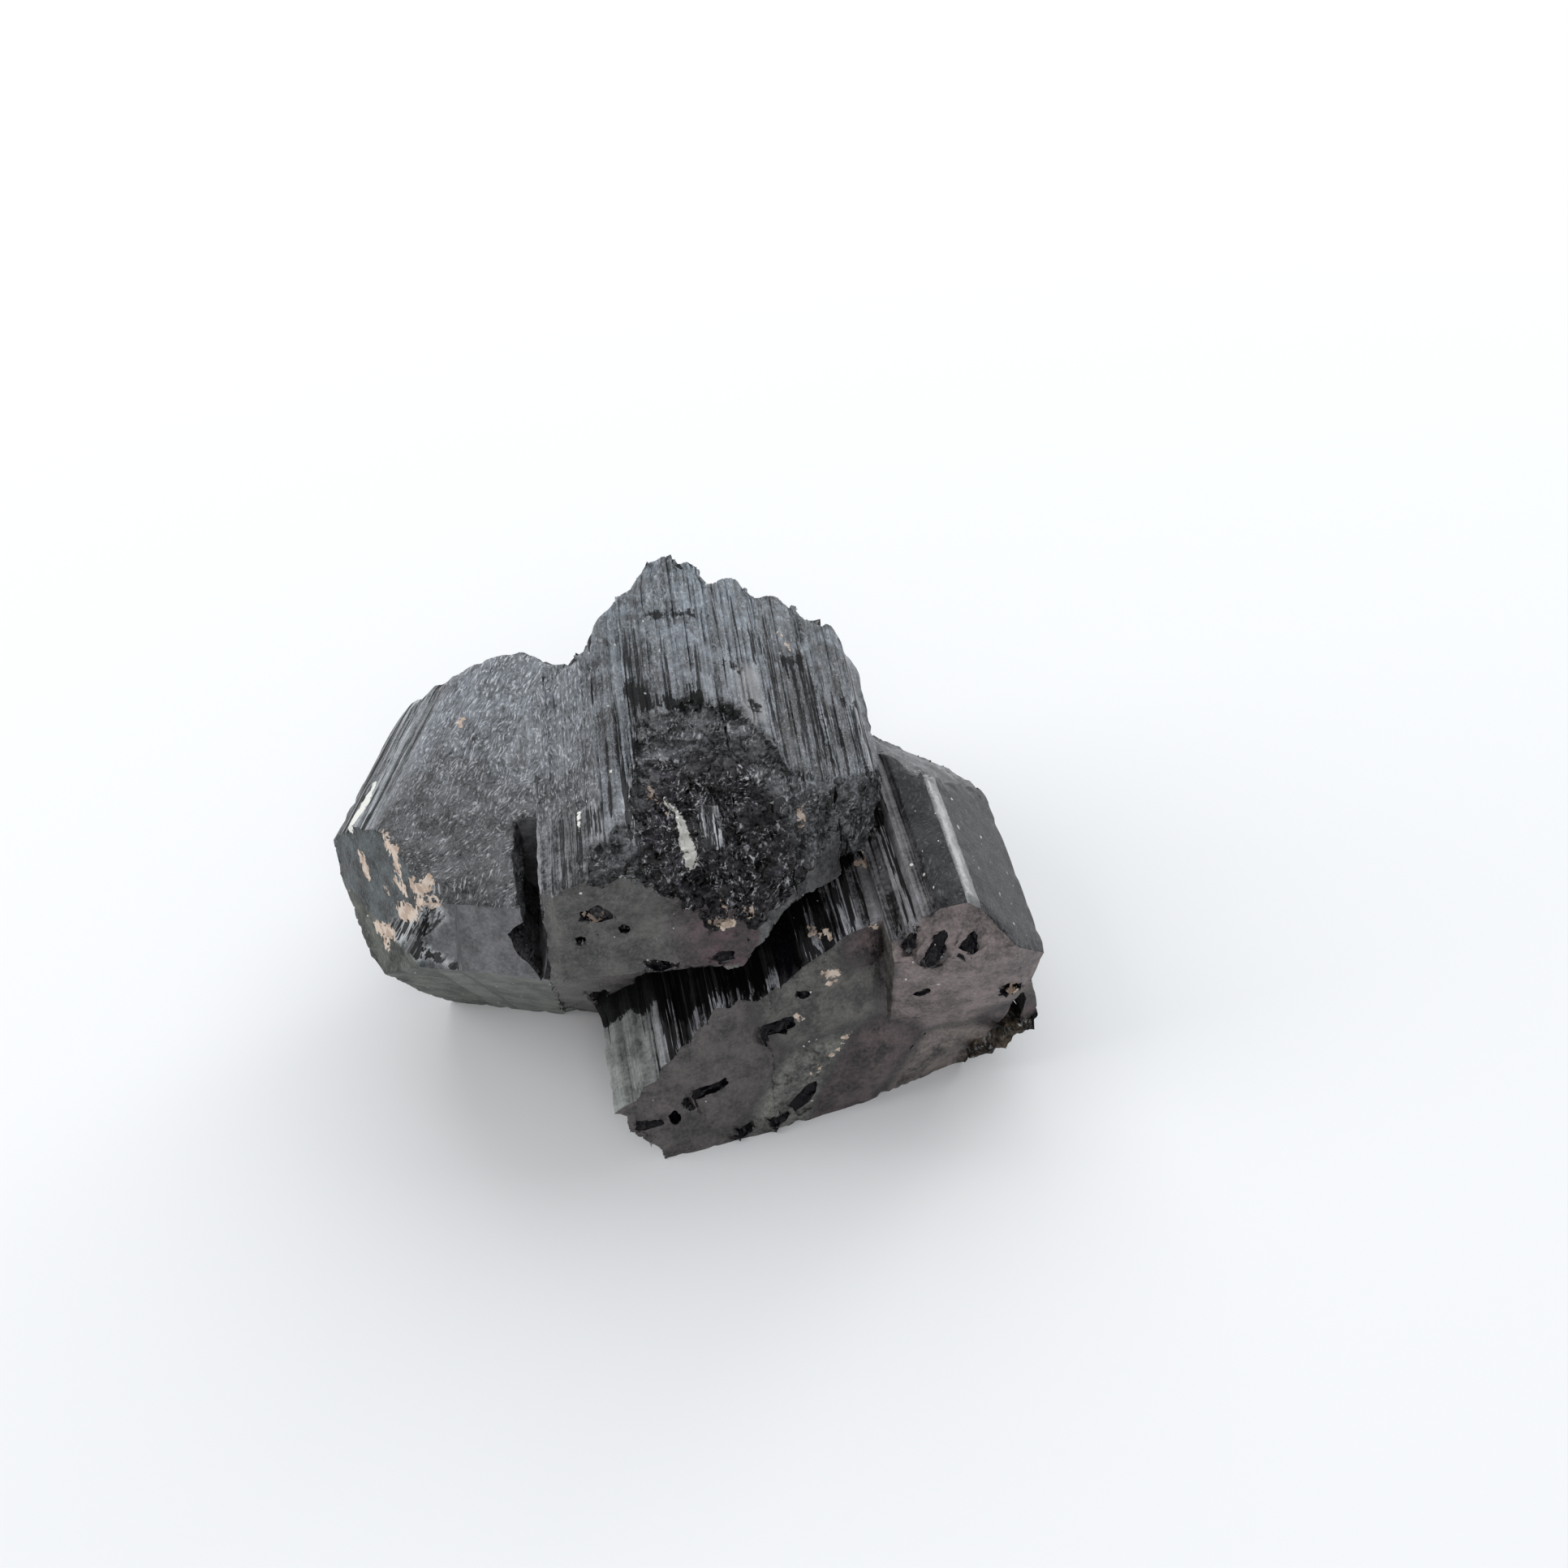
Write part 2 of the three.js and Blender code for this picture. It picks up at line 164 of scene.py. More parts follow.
@dataclass
class Ribs:
    """Growth ribs that run along a crystal, each in lengths that lie at depths of their own.

    A rib and the groove at its right take turns across the face.
    """

    low: float
    high: float
    rib: tuple[float, float]  # narrowest and widest
    groove: float  # widest groove
    length: float  # of one step along the crystal
    depth: float  # how deep a step may lie
    carve: float  # how deep a groove may be
    seed: int
    borders: list[float] = field(init=False)

    def __post_init__(self) -> None:
        """Lays the ribs out once."""
        draw = random.Random(self.seed)
        at = self.low
        self.borders = []
        while at < self.high:
            at += self.rib[0] + (self.rib[1] - self.rib[0]) * draw.random() ** 2
            self.borders.append(at)
            at += self.groove * (0.4 + 0.6 * draw.random())
            self.borders.append(at)

    def cuts(self, edge: float = 0.025) -> list[float]:
        """The two cuts, edge to each side, that give every border a steep wall."""
        return sorted(border + side for border in self.borders for side in (-edge, edge))

    def depth_at(self, x: float, s: float) -> float:
        """How deep the face lies.

        Args:
            x: the place across the ribs.
            s: the place along them.

        Returns:
            A depth in millimetres, 0 or more.
        """
        strip = bisect_right(self.borders, x)
        step = math.floor(s / self.length + 3 * chance(self.seed, strip))
        if strip % 2:
            return self.depth * 0.5 + self.carve * chance(self.seed, strip, step, 1) ** 1.5
        return self.depth * chance(self.seed, strip, step, 2) ** 2


TOP_RIBS = {
    Crystal.LEFT: Ribs(-36, -6, (0.2, 0.7), 0.14, 1.3, 0.07, 0.08, 3),
    Crystal.MAIN: Ribs(-15, 20, (0.2, 1.2), 0.2, 5.0, 0.09, 0.26, 4),
    Crystal.LOWER: Ribs(-11, 35, (0.35, 1.8), 0.14, 9.0, 0.05, 0.12, 5),
}  # of the upper and lower prism faces, laid out along u
SIDE_RIBS = {
    Crystal.LEFT: Ribs(0, 31, (0.3, 1.2), 0.16, 5.0, 0.08, 0.16, 6),
    Crystal.MAIN: Ribs(0, 36, (0.3, 1.2), 0.16, 5.0, 0.08, 0.16, 17),
    Crystal.LOWER: Ribs(0, 26, (0.3, 1.2), 0.16, 7.0, 0.08, 0.2, 8),
}  # of the side faces, laid out along w

# The band on the main crystal's top: its shoulder and its foot as points (u, s).
BAND_SHOULDER = (
    (-9.5, 7), (-5.2, 5), (-4.8, -1), (-3.2, -7), (1, -8), (6, -6.5), (8, -3), (9, 1), (12, 2),
    (16, 0.6), (19, -5.5),
)
BAND_FOOT = ((-9.5, 10.2), (5, 11.4), (14, 2.6), (20, 1.4))
BAND_SIDES = (-9.7, 20.4)  # its reach along u
BAND_MARGINS = (1.2, 0.5)  # how far it reaches past its shoulder and its foot
BAND_LEAST = 24.0  # no part of it lies lower
LEDGE_LEAST = 26.5  # nor any of its slanting ledges lower than this
COLUMN_ENDS = 14.5  # right of this u the main crystal's columns are broken off as well

# The parts of the lower crystals: each one's least u, greatest w and least s.
LOWER_PARTS = ((-math.inf, 17, -1), (16.3, 25, -math.inf), (8, 22, -1))
LEFT_EDGE = -14.2  # left of this u of the main crystal lies the left one

FUR_EDGE = -8.6  # left of this u the main crystal's top is furry
FUR_LEAST = 28.0  # no part of that lies lower
STRIP_EDGE = -28.5  # left of this u the left crystal's top is barred
SMOOTH_EDGE = 20.7  # right of this u the right crystal is smooth
RIDGE_SIDES = (23.7, 24.95)  # the narrow face along its top, painted light as a highlight
RIDGE_LEAST = 23.5  # no part of that lies lower
STEP_EDGE = (15.5, 21.0)  # right of this u and below this w the lower crystals' step is smooth
GLOSSY_EDGE = -20.8  # left of this u the left crystal's end is glossy


@dataclass(frozen=True)
class Sorter:
    """Tells which crystal and which kind of surface a face belongs to."""

    weld: float = 0.002  # corners of the solid this near to each other are one
    flat: float = 0.3  # degrees between faces that count as one plane
    level: float = 0.995  # cosine between a large face and a sliver that belongs to it
    parallel: float = 0.01  # how little a prism face looks forwards
    column_front: float = 0.5  # how far forwards the ends of broken columns look
    ledge_front: float = 0.99  # how far forwards the band's upright ledges look
    end_front: float = 0.1  # how far forwards a face looks that ends a crystal
    back_front: float = -0.2  # a small face that looks further back is broken
    worn_up: float = 0.6  # how far up a worn top looks
    fur_up: float = 0.8  # how far up a small worn place in the fur looks
    floor: tuple[float, float] = (20.0, -6.0)  # below this w and in front of this s lie pits' floors
    large: float = 2.5  # square millimetres; smaller faces belong to hollows
    ledge: float = 60.0  # the band's ledges are smaller than this

    def crystal_of(self, centre: Vector) -> Crystal:
        """Tells which crystal a face is on.

        Args:
            centre: a face's middle, in the part's frame.

        Returns:
            The crystal.
        """
        if (Crystal.MAIN.frame @ centre).x < LEFT_EDGE:
            return Crystal.LEFT
        u, w, s = Crystal.LOWER.frame @ centre
        if any(u > part[0] and w < part[1] and s > part[2] for part in LOWER_PARTS):
            return Crystal.LOWER
        return Crystal.MAIN

    def surface_of(self, crystal: Crystal, centre: Vector, normal: Vector, area: float) -> Surface:
        """The kind of surface that a face is part of.

        Args:
            crystal: the crystal that the face is on.
            centre: its middle, in the part's frame.
            normal: its outward direction.
            area: its area in square millimetres.

        Returns:
            Its kind.
        """
        u, w, s = crystal.frame @ centre
        across, up, forwards = crystal.frame @ normal
        on_top = crystal is Crystal.MAIN and w > BAND_LEAST
        on_band = (
            on_top and BAND_SIDES[0] < u < BAND_SIDES[1]
            and along(BAND_SHOULDER, u) - BAND_MARGINS[0] < s < along(BAND_FOOT, u) + BAND_MARGINS[1]
        )
        large = area > self.large
        if abs(forwards) < self.parallel:
            return Surface.TOP if abs(up) > abs(across) else Surface.SIDE
        if on_top and u > COLUMN_ENDS and forwards > self.column_front:
            return Surface.BAND
        looks_up = up > self.worn_up
        if large and looks_up and (crystal is Crystal.LEFT or (on_top and u < FUR_EDGE)):
            return Surface.WORN
        slanting = w > LEDGE_LEAST and area < self.ledge
        on_ledge = on_band and (forwards > self.ledge_front or slanting)
        if large and forwards > self.end_front and not on_ledge:
            return Surface.END
        if on_band:
            return Surface.BAND
        if w > FUR_LEAST and up > self.fur_up and u < FUR_EDGE:
            return Surface.WORN
        on_floor = looks_up and w < self.floor[0] and s > self.floor[1]
        if (forwards < self.back_front or large) and not on_floor:
            return Surface.BREAK
        return Surface.HOLLOW

    def label(self, form: bmesh.types.BMesh) -> None:
        """Writes each face's crystal and kind of surface to layers of the mesh.

        A small face that lies level with a large one takes that one's labels.

        Args:
            form: the mesh.
        """
        crystals = form.faces.layers.int.new("crystal")
        surfaces = form.faces.layers.int.new("surface")
        order = sorted(form.faces, key=lambda face: -face.calc_area())
        for face in order:
            centre = face.calc_center_median()
            crystal = self.crystal_of(centre)
            face[crystals] = int(crystal)
            face[surfaces] = int(self.surface_of(crystal, centre, face.normal, face.calc_area()))
        for face in order:
            for other in (other for edge in face.edges for other in edge.link_faces):
                level = face.normal.dot(other.normal) > self.level
                if level and other.calc_area() > max(self.large, face.calc_area()):
                    face[crystals], face[surfaces] = other[crystals], other[surfaces]

    def groups(self, form: bmesh.types.BMesh) -> dict[Key, list]:
        """Sorts the faces of a mesh by their crystal and their kind of surface.

        Args:
            form: the labelled mesh.

        Returns:
            Its faces, by crystal and kind.
        """
        crystals, surfaces = layers(form)
        found: dict[Key, list] = {}
        for face in form.faces:
            found.setdefault((face[crystals], face[surfaces]), []).append(face)
        return found


# ---- Cutting into cells ----


@dataclass(frozen=True)
class Cutter:
    """Cuts the surfaces into cells that follow their crystals' axes.

    Attributes:
        along: the cells' length along the crystal on its prism faces.
        band, end, rough, hollow: the sides of the cells on the other kinds of surface.
    """

    sorter: Sorter
    along: float = 0.8
    band: float = 0.28
    end: float = 0.45
    rough: float = 0.65
    hollow: float = 0.4
    touch: float = 1e-5  # corners this near a plane lie on it
    weld: float = 1e-4  # corners this near to each other are one
    reach: float = 40.0  # how far the planes go from the origin

    def cells(self, crystal: Crystal, surface: Surface) -> list[tuple[Vector, list[float]]]:
        """The cuts of a surface.

        Args:
            crystal: the crystal it is on.
            surface: its kind.

        Returns:
            Pairs of a direction and the places of the cuts along it, in rising order.
        """
        across, up, forwards = (row.copy() for row in crystal.frame)
        lengths = (forwards, steps(-self.reach, self.reach, self.along))
        if surface in (Surface.TOP, Surface.WORN):
            return [(across, TOP_RIBS[crystal].cuts()), lengths]
        if surface is Surface.SIDE:
            return [(up, SIDE_RIBS[crystal].cuts()), lengths]
        pitch = {
            Surface.BAND: self.band, Surface.END: self.end, Surface.BREAK: self.rough,
            Surface.HOLLOW: self.hollow,
        }[surface]
        places = steps(-self.reach, self.reach, pitch)
        return [(across, places), (forwards if surface is Surface.BAND else up, places)]

    def cut(
        self, form: bmesh.types.BMesh, parts: list, axis: Vector, places: list[float],
    ) -> None:
        """Cuts faces or loose edges by parallel planes, halving them each time.

        Args:
            form: the mesh.
            parts: the faces to cut, or the edges.
            axis: the direction across the planes.
            places: where along it the planes lie, in rising order.
        """
        reach = [vert.co.dot(axis) for part in parts for vert in part.verts]
        places = [place for place in places if reach and min(reach) < place < max(reach)]
        if not places:
            return
        middle = len(places) // 2
        kind = type(parts[0])
        edges = {edge for part in parts for edge in getattr(part, "edges", [part])}
        verts = {vert for part in parts for vert in part.verts}
        found = bmesh.ops.bisect_plane(
            form, geom=list({*verts, *edges, *parts}), dist=self.touch, plane_no=axis,
            plane_co=axis * places[middle],
        )
        below, above = [], []
        for part in found["geom"]:
            if isinstance(part, kind):
                centre = sum(vert.co.dot(axis) for vert in part.verts) / len(part.verts)
                (below if centre < places[middle] else above).append(part)
        self.cut(form, below, axis, places[:middle])
        self.cut(form, above, axis, places[middle + 1:])

    def cut_seams(self, form: bmesh.types.BMesh) -> None:
        """Cuts the edges between two kinds of surface by the planes of both.

        Each surface can then be cut on its own, and still fits its neighbours corner by corner.

        Args:
            form: the labelled mesh.
        """
        crystals, surfaces = layers(form)
        for key in sorted(self.sorter.groups(form)):
            for axis, places in self.cells(Crystal(key[0]), Surface(key[1])):
                seams = [
                    edge for edge in form.edges
                    if key in (keys := {(f[crystals], f[surfaces]) for f in edge.link_faces})
                    and len(keys) > 1
                ]
                self.cut(form, seams, axis, places)

    def cut_all(self, form: bmesh.types.BMesh) -> bmesh.types.BMesh:
        """Cuts every surface into its cells.

        Args:
            form: the labelled mesh.

        Returns:
            The whole mesh anew, in fine cells.
        """
        self.cut_seams(form)
        whole = bmesh.new()
        for key in sorted(self.sorter.groups(form)):
            piece = form.copy()
            others = [f for k, fs in self.sorter.groups(piece).items() if k != key for f in fs]
            bmesh.ops.delete(piece, geom=others, context="FACES")
            for axis, places in self.cells(Crystal(key[0]), Surface(key[1])):
                self.cut(piece, list(piece.faces), axis, places)
            mesh = bpy.data.meshes.new("cells")
            piece.to_mesh(mesh)
            piece.free()
            whole.from_mesh(mesh)
            bpy.data.meshes.remove(mesh)
        bmesh.ops.remove_doubles(whole, verts=whole.verts, dist=self.weld)
        return whole


# ---- Wear ----


@dataclass(frozen=True)
class Lobe:
    """A low swelling on the lower crystals' ends, with creases where it meets the next one.

    Attributes:
        centre: its place (u, w).
        radii: its half length and half width.
        tilt: how far its length is turned up from u, in degrees.
        rise: how high it stands.
        finish: the name of its look.
    """

    centre: tuple[float, float]
    radii: tuple[float, float]
    tilt: float
    rise: float
    finish: str

    def height(self, u: float, w: float) -> float:
        """How high the swelling stands.

        Args:
            u: the place across the crystal.
            w: its height.

        Returns:
            A height in millimetres, negative outside the swelling.
        """
        turn = math.radians(self.tilt)
        across, up = u - self.centre[0], w - self.centre[1]
        x = (across * math.cos(turn) + up * math.sin(turn)) / self.radii[0]
        y = (up * math.cos(turn) - across * math.sin(turn)) / self.radii[1]
        return self.rise * (1 - x * x - y * y)


LOBES = (
    Lobe((-3.9, 9.0), (9.0, 10.5), 20, 0.6, "FIRST_END"),
    Lobe((9.9, 14.5), (6.6, 5.4), 10, 0.55, "SECOND_END"),
    Lobe((14.2, 17.9), (2.6, 2.0), 10, 0.55, "BROWN_END"),
    Lobe((23.6, 15.2), (7.8, 7.6), 0, 0.65, "MATT_END"),
    Lobe((7.2, 4.9), (7.6, 3.0), 42, 0.55, "GREEN_END"),
    Lobe((14.2, 5.3), (5.6, 3.9), 22, 0.55, "BROWN_END"),
    Lobe((22.4, 4.0), (5.6, 3.3), 12, 0.5, "LOW_END"),
    Lobe((28.2, 8.6), (2.6, 2.6), 0, 0.4, "BROWN_END"),
)
LOBE_TOP = max(lobe.rise for lobe in LOBES)


class Fading:
    """What some places lose, which fades with the distance from them."""

    def __init__(
        self, losses: list[tuple[Vector, Vector]], fade: Callable[[float], float],
    ) -> None:
        """Gets ready to find the nearest of the places.

        Args:
            losses: pairs of a place and what it loses.
            fade: tells the share of that which is left at a distance.
        """
        self.losses = [loss for _, loss in losses]
        self.fade = fade
        self.tree = kdtree.KDTree(len(losses))
        for index, (place, _) in enumerate(losses):
            self.tree.insert(place, index)
        self.tree.balance()

    def at(self, place: Vector) -> Vector:
        """What is left at a place of the loss of the nearest one."""
        _, index, distance = self.tree.find(place)
        return self.losses[index] * self.fade(distance)


@dataclass(frozen=True)
class Wear:
    """How deep each kind of surface is worn in, so that nothing stands out of the solid.

    Its fields are millimetres, apart from the shares, the cosines and worn_out.
    """

    fur_ribs: float = 0.45  # the share of the ribs' depth that the furry top has
    fur_relief: float = 0.06
    left_ribs: float = 0.6  # the share that the left crystal's top has, but for its barred strip
    worn_ribs: float = 0.4  # the share that the worn tops have
    worn_out: tuple[float, float] = (8, 12)  # along these s that share dwindles to nothing
    scar: float = 0.35  # how deep the worn tops are scarred
    crumble: float = 0.5  # how deep the columns crumble next to the band
    end_floor: float = 0.05
    end_relief: float = 0.09
    hollow_floor: float = 0.1
    hollow_relief: float = 0.15
    band_floor: float = 0.3
    ledge: float = 1.5  # how far apart the band's ledges are
    ledge_drop: float = 0.5
    band_relief: float = 0.28
    band_grit: float = 0.22
    shoulder: float = 1.6  # how far from the band the columns crumble
    break_floor: float = 0.2
    break_relief: float = 0.45
    lobe_depth: float = 0.7  # the deepest crease between two lobes
    edge_chip: float = 0.35
    rim_chip: float = 0.8  # where the prism faces end in the broken back
    corner_chip: float = 1.0  # what a corner of that rim loses besides
    corner_reach: float = 1.7  # and how far along the rim
    three_flats: float = 0.64  # cosine to the mean, below which three flats meet and not two
    reach: float = 2.0  # how far the wear of an edge goes into the faces beside it
    sharp: float = 0.94  # cosine between the faces at an edge that chips

    def band_depth(self, point: Vector, u: float, s: float) -> float:
        """How deep the band of broken columns is worn.

        Args:
            point: the place, in the part's frame.
            u: where it is across the crystal.
            s: where it is along it.

        Returns:
            A depth in millimetres, 0 or more.
        """
        swell = rugged(point, 2.4)
        step = s / self.ledge + 1.1 * swell + 0.12 * u
        ledge = (step - math.floor(step)) ** 1.5
        grit = rugged(point, 0.7, 2, 5)
        relief = self.band_relief * swell + self.band_grit * grit
        return max(0.0, self.band_floor + self.ledge_drop * ledge + relief)

    def top_depth(self, crystal: Crystal, point: Vector, u: float, s: float) -> float:
        """How deep a prism face that looks up or down is worn.

        Args:
            crystal: the crystal it is on.
            point: the place, in the part's frame.
            u: where it is across the crystal.
            s: where it is along it.

        Returns:
            A depth in millimetres, 0 or more.
        """
        depth = TOP_RIBS[crystal].depth_at(u, s)
        if crystal is Crystal.LOWER and u > SMOOTH_EDGE:
            return 0.0
        if crystal is Crystal.MAIN and u < FUR_EDGE:
            return depth * self.fur_ribs + self.fur_relief * max(0.0, rugged(point, 1.5))
        if crystal is Crystal.MAIN and point.z > BAND_LEAST:
            near = blend(self.shoulder, 0, along(BAND_SHOULDER, u) - s)
            return depth + near * self.crumble * max(0.0, rugged(point, 1.3) + 0.25)
        return depth * (self.left_ribs if crystal is Crystal.LEFT and u >= STRIP_EDGE else 1.0)

    def depth(self, crystal: Crystal, surface: Surface, point: Vector) -> float:
        """How far a surface is worn in at a place.

        Args:
            crystal: the crystal it is on.
            surface: its kind.
            point: the place, in the part's frame.

        Returns:
            A depth in millimetres, 0 or more.
        """
        u, w, s = crystal.frame @ point
        if surface is Surface.TOP:
            return self.top_depth(crystal, point, u, s)
        if surface is Surface.WORN:
            scars = max(0.0, rugged(point, 1.8) + 0.1)
            ribs = self.worn_ribs * (1 - blend(*self.worn_out, s))
            return TOP_RIBS[crystal].depth_at(u, s) * ribs + self.scar * scars
        if surface is Surface.SIDE:
            step = u > STEP_EDGE[0] and w < STEP_EDGE[1]
            smooth = crystal is Crystal.LOWER and (u > SMOOTH_EDGE or step)
            return 0.0 if smooth else SIDE_RIBS[crystal].depth_at(w, s)
        if surface is Surface.BAND:
            return self.band_depth(point, u, s)
        if surface is Surface.BREAK:
            return max(0.0, self.break_floor + self.break_relief * rugged(point, 3.0, 2))
        if surface is Surface.END:
            swell = max(0.0, self.end_floor + self.end_relief * rugged(point, 3.5))
            if crystal is not Crystal.LOWER:
                return swell
            crease = LOBE_TOP - max(lobe.height(u, w) for lobe in LOBES)
            return swell + min(self.lobe_depth, max(0.0, crease))
        return max(0.0, self.hollow_floor + self.hollow_relief * rugged(point, 1.0))

    def chip(self, vert: bmesh.types.BMVert, kinds: set[int], normal: Vector) -> float:
        """How much is chipped off where faces meet in an edge that stands out.

        Args:
            vert: the corner.
            kinds: the kinds of surface that meet there.
            normal: its mean outward direction.

        Returns:
            A depth in millimetres, 0 or more.
        """
        normals = [face.normal for face in vert.link_faces]
        if min(a.dot(b) for a in normals for b in normals) > self.sharp:
            return 0.0
        around = [edge.other_vert(vert).co for edge in vert.link_edges]
        if normal.dot(sum(around, Vector()) / len(around) - vert.co) > 0:
            return 0.0
        if Surface.BREAK in kinds and len(kinds) > 1:
            return self.rim_chip * max(0.15, noise.noise(vert.co / 2.6) + 0.35)
        return self.edge_chip * max(0.0, rugged(vert.co, 1.4, 2) - 0.05)

    def normals(self, vert: bmesh.types.BMVert, labels: tuple) -> dict[Key, Vector]:
        """Finds which surfaces meet at a corner.

        Args:
            vert: the corner.
            labels: the mesh's layers of crystals and kinds.

        Returns:
            The outward direction of each surface there.
        """
        sides: dict[Key, Vector] = {}
        for face in vert.link_faces:
            key = (face[labels[0]], face[labels[1]])
            sides[key] = sides.get(key, Vector()) + face.normal * face.calc_area()
        return {key: side.normalized() for key, side in sides.items()}

    def at_back(self, normals: dict[Key, Vector]) -> bool:
        """Whether the broken back meets another surface there."""
        return len(normals) > 1 and any(
            kind == Surface.BREAK and normal.y > 0.5 for (_, kind), normal in normals.items()
        )

    def corners(self, form: bmesh.types.BMesh, labels: tuple) -> list[tuple[Vector, Vector]]:
        """Finds where three flats meet along the broken back's rim.

        Args:
            form: the labelled mesh.
            labels: its layers of crystals and kinds.

        Returns:
            Pairs of a place and what it loses.
        """
        found = []
        for vert in form.verts:
            normals = self.normals(vert, labels)
            if self.at_back(normals):
                mean = sum(normals.values(), Vector()).normalized()
                if min(mean.dot(other) for other in normals.values()) < self.three_flats:
                    found.append((vert.co.copy(), -mean * self.corner_chip))
        return found

    def parts(
        self, vert: bmesh.types.BMVert, normals: dict[Key, Vector],
    ) -> tuple[Vector, dict[Key, Vector]]:
        """How a corner moves.

        Args:
            vert: the corner.
            normals: the outward direction of each surface that meets there.

        Returns:
            What its edge loses, and what each surface that meets there loses.
        """
        mean = sum(normals.values(), Vector()).normalized()
        chip = -mean * self.chip(vert, {surface for _, surface in normals}, mean)
        losses = {}
        for key, normal in normals.items():
            share = sum(max(0.0, normal.dot(other)) ** 2 for other in normals.values())
            depth = self.depth(Crystal(key[0]), Surface(key[1]), vert.co)
            losses[key] = -normal * (depth / max(1.0, share))
        return chip, losses

    def fade(self, distance: float) -> float:
        """The share of an edge's wear that is left at a distance."""
        return max(0.0, 1 - distance / self.reach)

    def worn(self, form: bmesh.types.BMesh) -> list[tuple[Vector, dict[Key, Vector]]]:
        """Works out the wear of every corner of a mesh.

        What the broken back's rim loses fades along the edges that end there.

        Args:
            form: the labelled mesh.

        Returns:
            For each corner what its edge loses, and what each surface that meets there loses.
        """
        labels = layers(form)
        corners = Fading(self.corners(form, labels), lambda d: blend(self.corner_reach, 0, d))
        found, rim = [], []
        for vert in form.verts:
            normals = self.normals(vert, labels)
            chip, losses = self.parts(vert, normals)
            if rimmed := self.at_back(normals):
                chip = chip + corners.at(vert.co)
                rim.append((vert.co.copy(), chip))
            found.append((chip, losses, rimmed))
        along_edges = Fading(rim, self.fade)
        worn = []
        for vert, (chip, losses, rimmed) in zip(form.verts, found):
            if len(losses) > 1 and not rimmed:
                chip = chip + along_edges.at(vert.co)
            worn.append((chip, losses))
        return worn

    def apply(self, form: bmesh.types.BMesh) -> None:
        """Moves every corner of a labelled mesh inwards to its depth.

        What an edge loses is taken from the faces beside it as well, less and less with the
        distance, so that no face folds over.

        Args:
            form: the labelled mesh.
        """
        worn = self.worn(form)
        edges: dict[Key, list] = {}
        for vert, (chip, losses) in zip(form.verts, worn):
            if chip.length or len(losses) > 1:
                total = sum(losses.values(), chip)
                for key, loss in losses.items():
                    edges.setdefault(key, []).append((vert.co.copy(), total - loss))
        beside = {key: Fading(found, self.fade) for key, found in edges.items()}
        low = [min(vert.co[axis] for vert in form.verts) for axis in range(3)]
        high = [max(vert.co[axis] for vert in form.verts) for axis in range(3)]
        for vert, (chip, losses) in zip(form.verts, worn):
            place = vert.co + sum(losses.values(), chip)
            if len(losses) == 1:
                key, loss = next(iter(losses.items()))
                place = vert.co + loss + beside[key].at(vert.co) if key in beside else place
            vert.co = [min(max(place[axis], low[axis]), high[axis]) for axis in range(3)]


# ---- Where each finish lies ----


@dataclass(frozen=True)
class Look:
    """How a spot of the stone looks.

    Attributes:
        tone: the colour of its body and of the fine frost on it.
        rough: the roughness of its shine.
        hairs: how much fine, broken growth lines show, 0 to 1.
        mottle: how uneven its tone is, 0 to 1.
        flakes_and_glints: how many pale flecks lie on it, partly painted glints, 0 to 1.
        stripes: how much it is barred light and dark along the crystal, 0 to 1.
        curls: how many fine, curly scratches show, 0 to 1.
        shards: how much it is broken into small facets, 0 to 1.
    """

    tone: tuple[float, float, float]
    rough: float
    hairs: float = 0.0
    mottle: float = 0.3
    flakes_and_glints: float = 0.0
    stripes: float = 0.0
    curls: float = 0.0
    shards: float = 0.0

    def to(self, other: "Look", t: float) -> "Look":
        """Blends this look with another.

        Args:
            other: the other look.
            t: the other look's share, kept within 0 to 1.

        Returns:
            The look between.
        """
        if t <= 0 or t >= 1:
            return other if t >= 1 else self
        tone = tuple(a + (b - a) * t for a, b in zip(self.tone, other.tone))
        rest = [a + (b - a) * t for a, b in zip(self.traits, other.traits)]
        return Look(tone, *rest)

    @property
    def traits(self) -> tuple[float, ...]:
        """All its numbers but the colour, in their order."""
        return (
            self.rough, self.hairs, self.mottle, self.flakes_and_glints, self.stripes, self.curls,
            self.shards,
        )


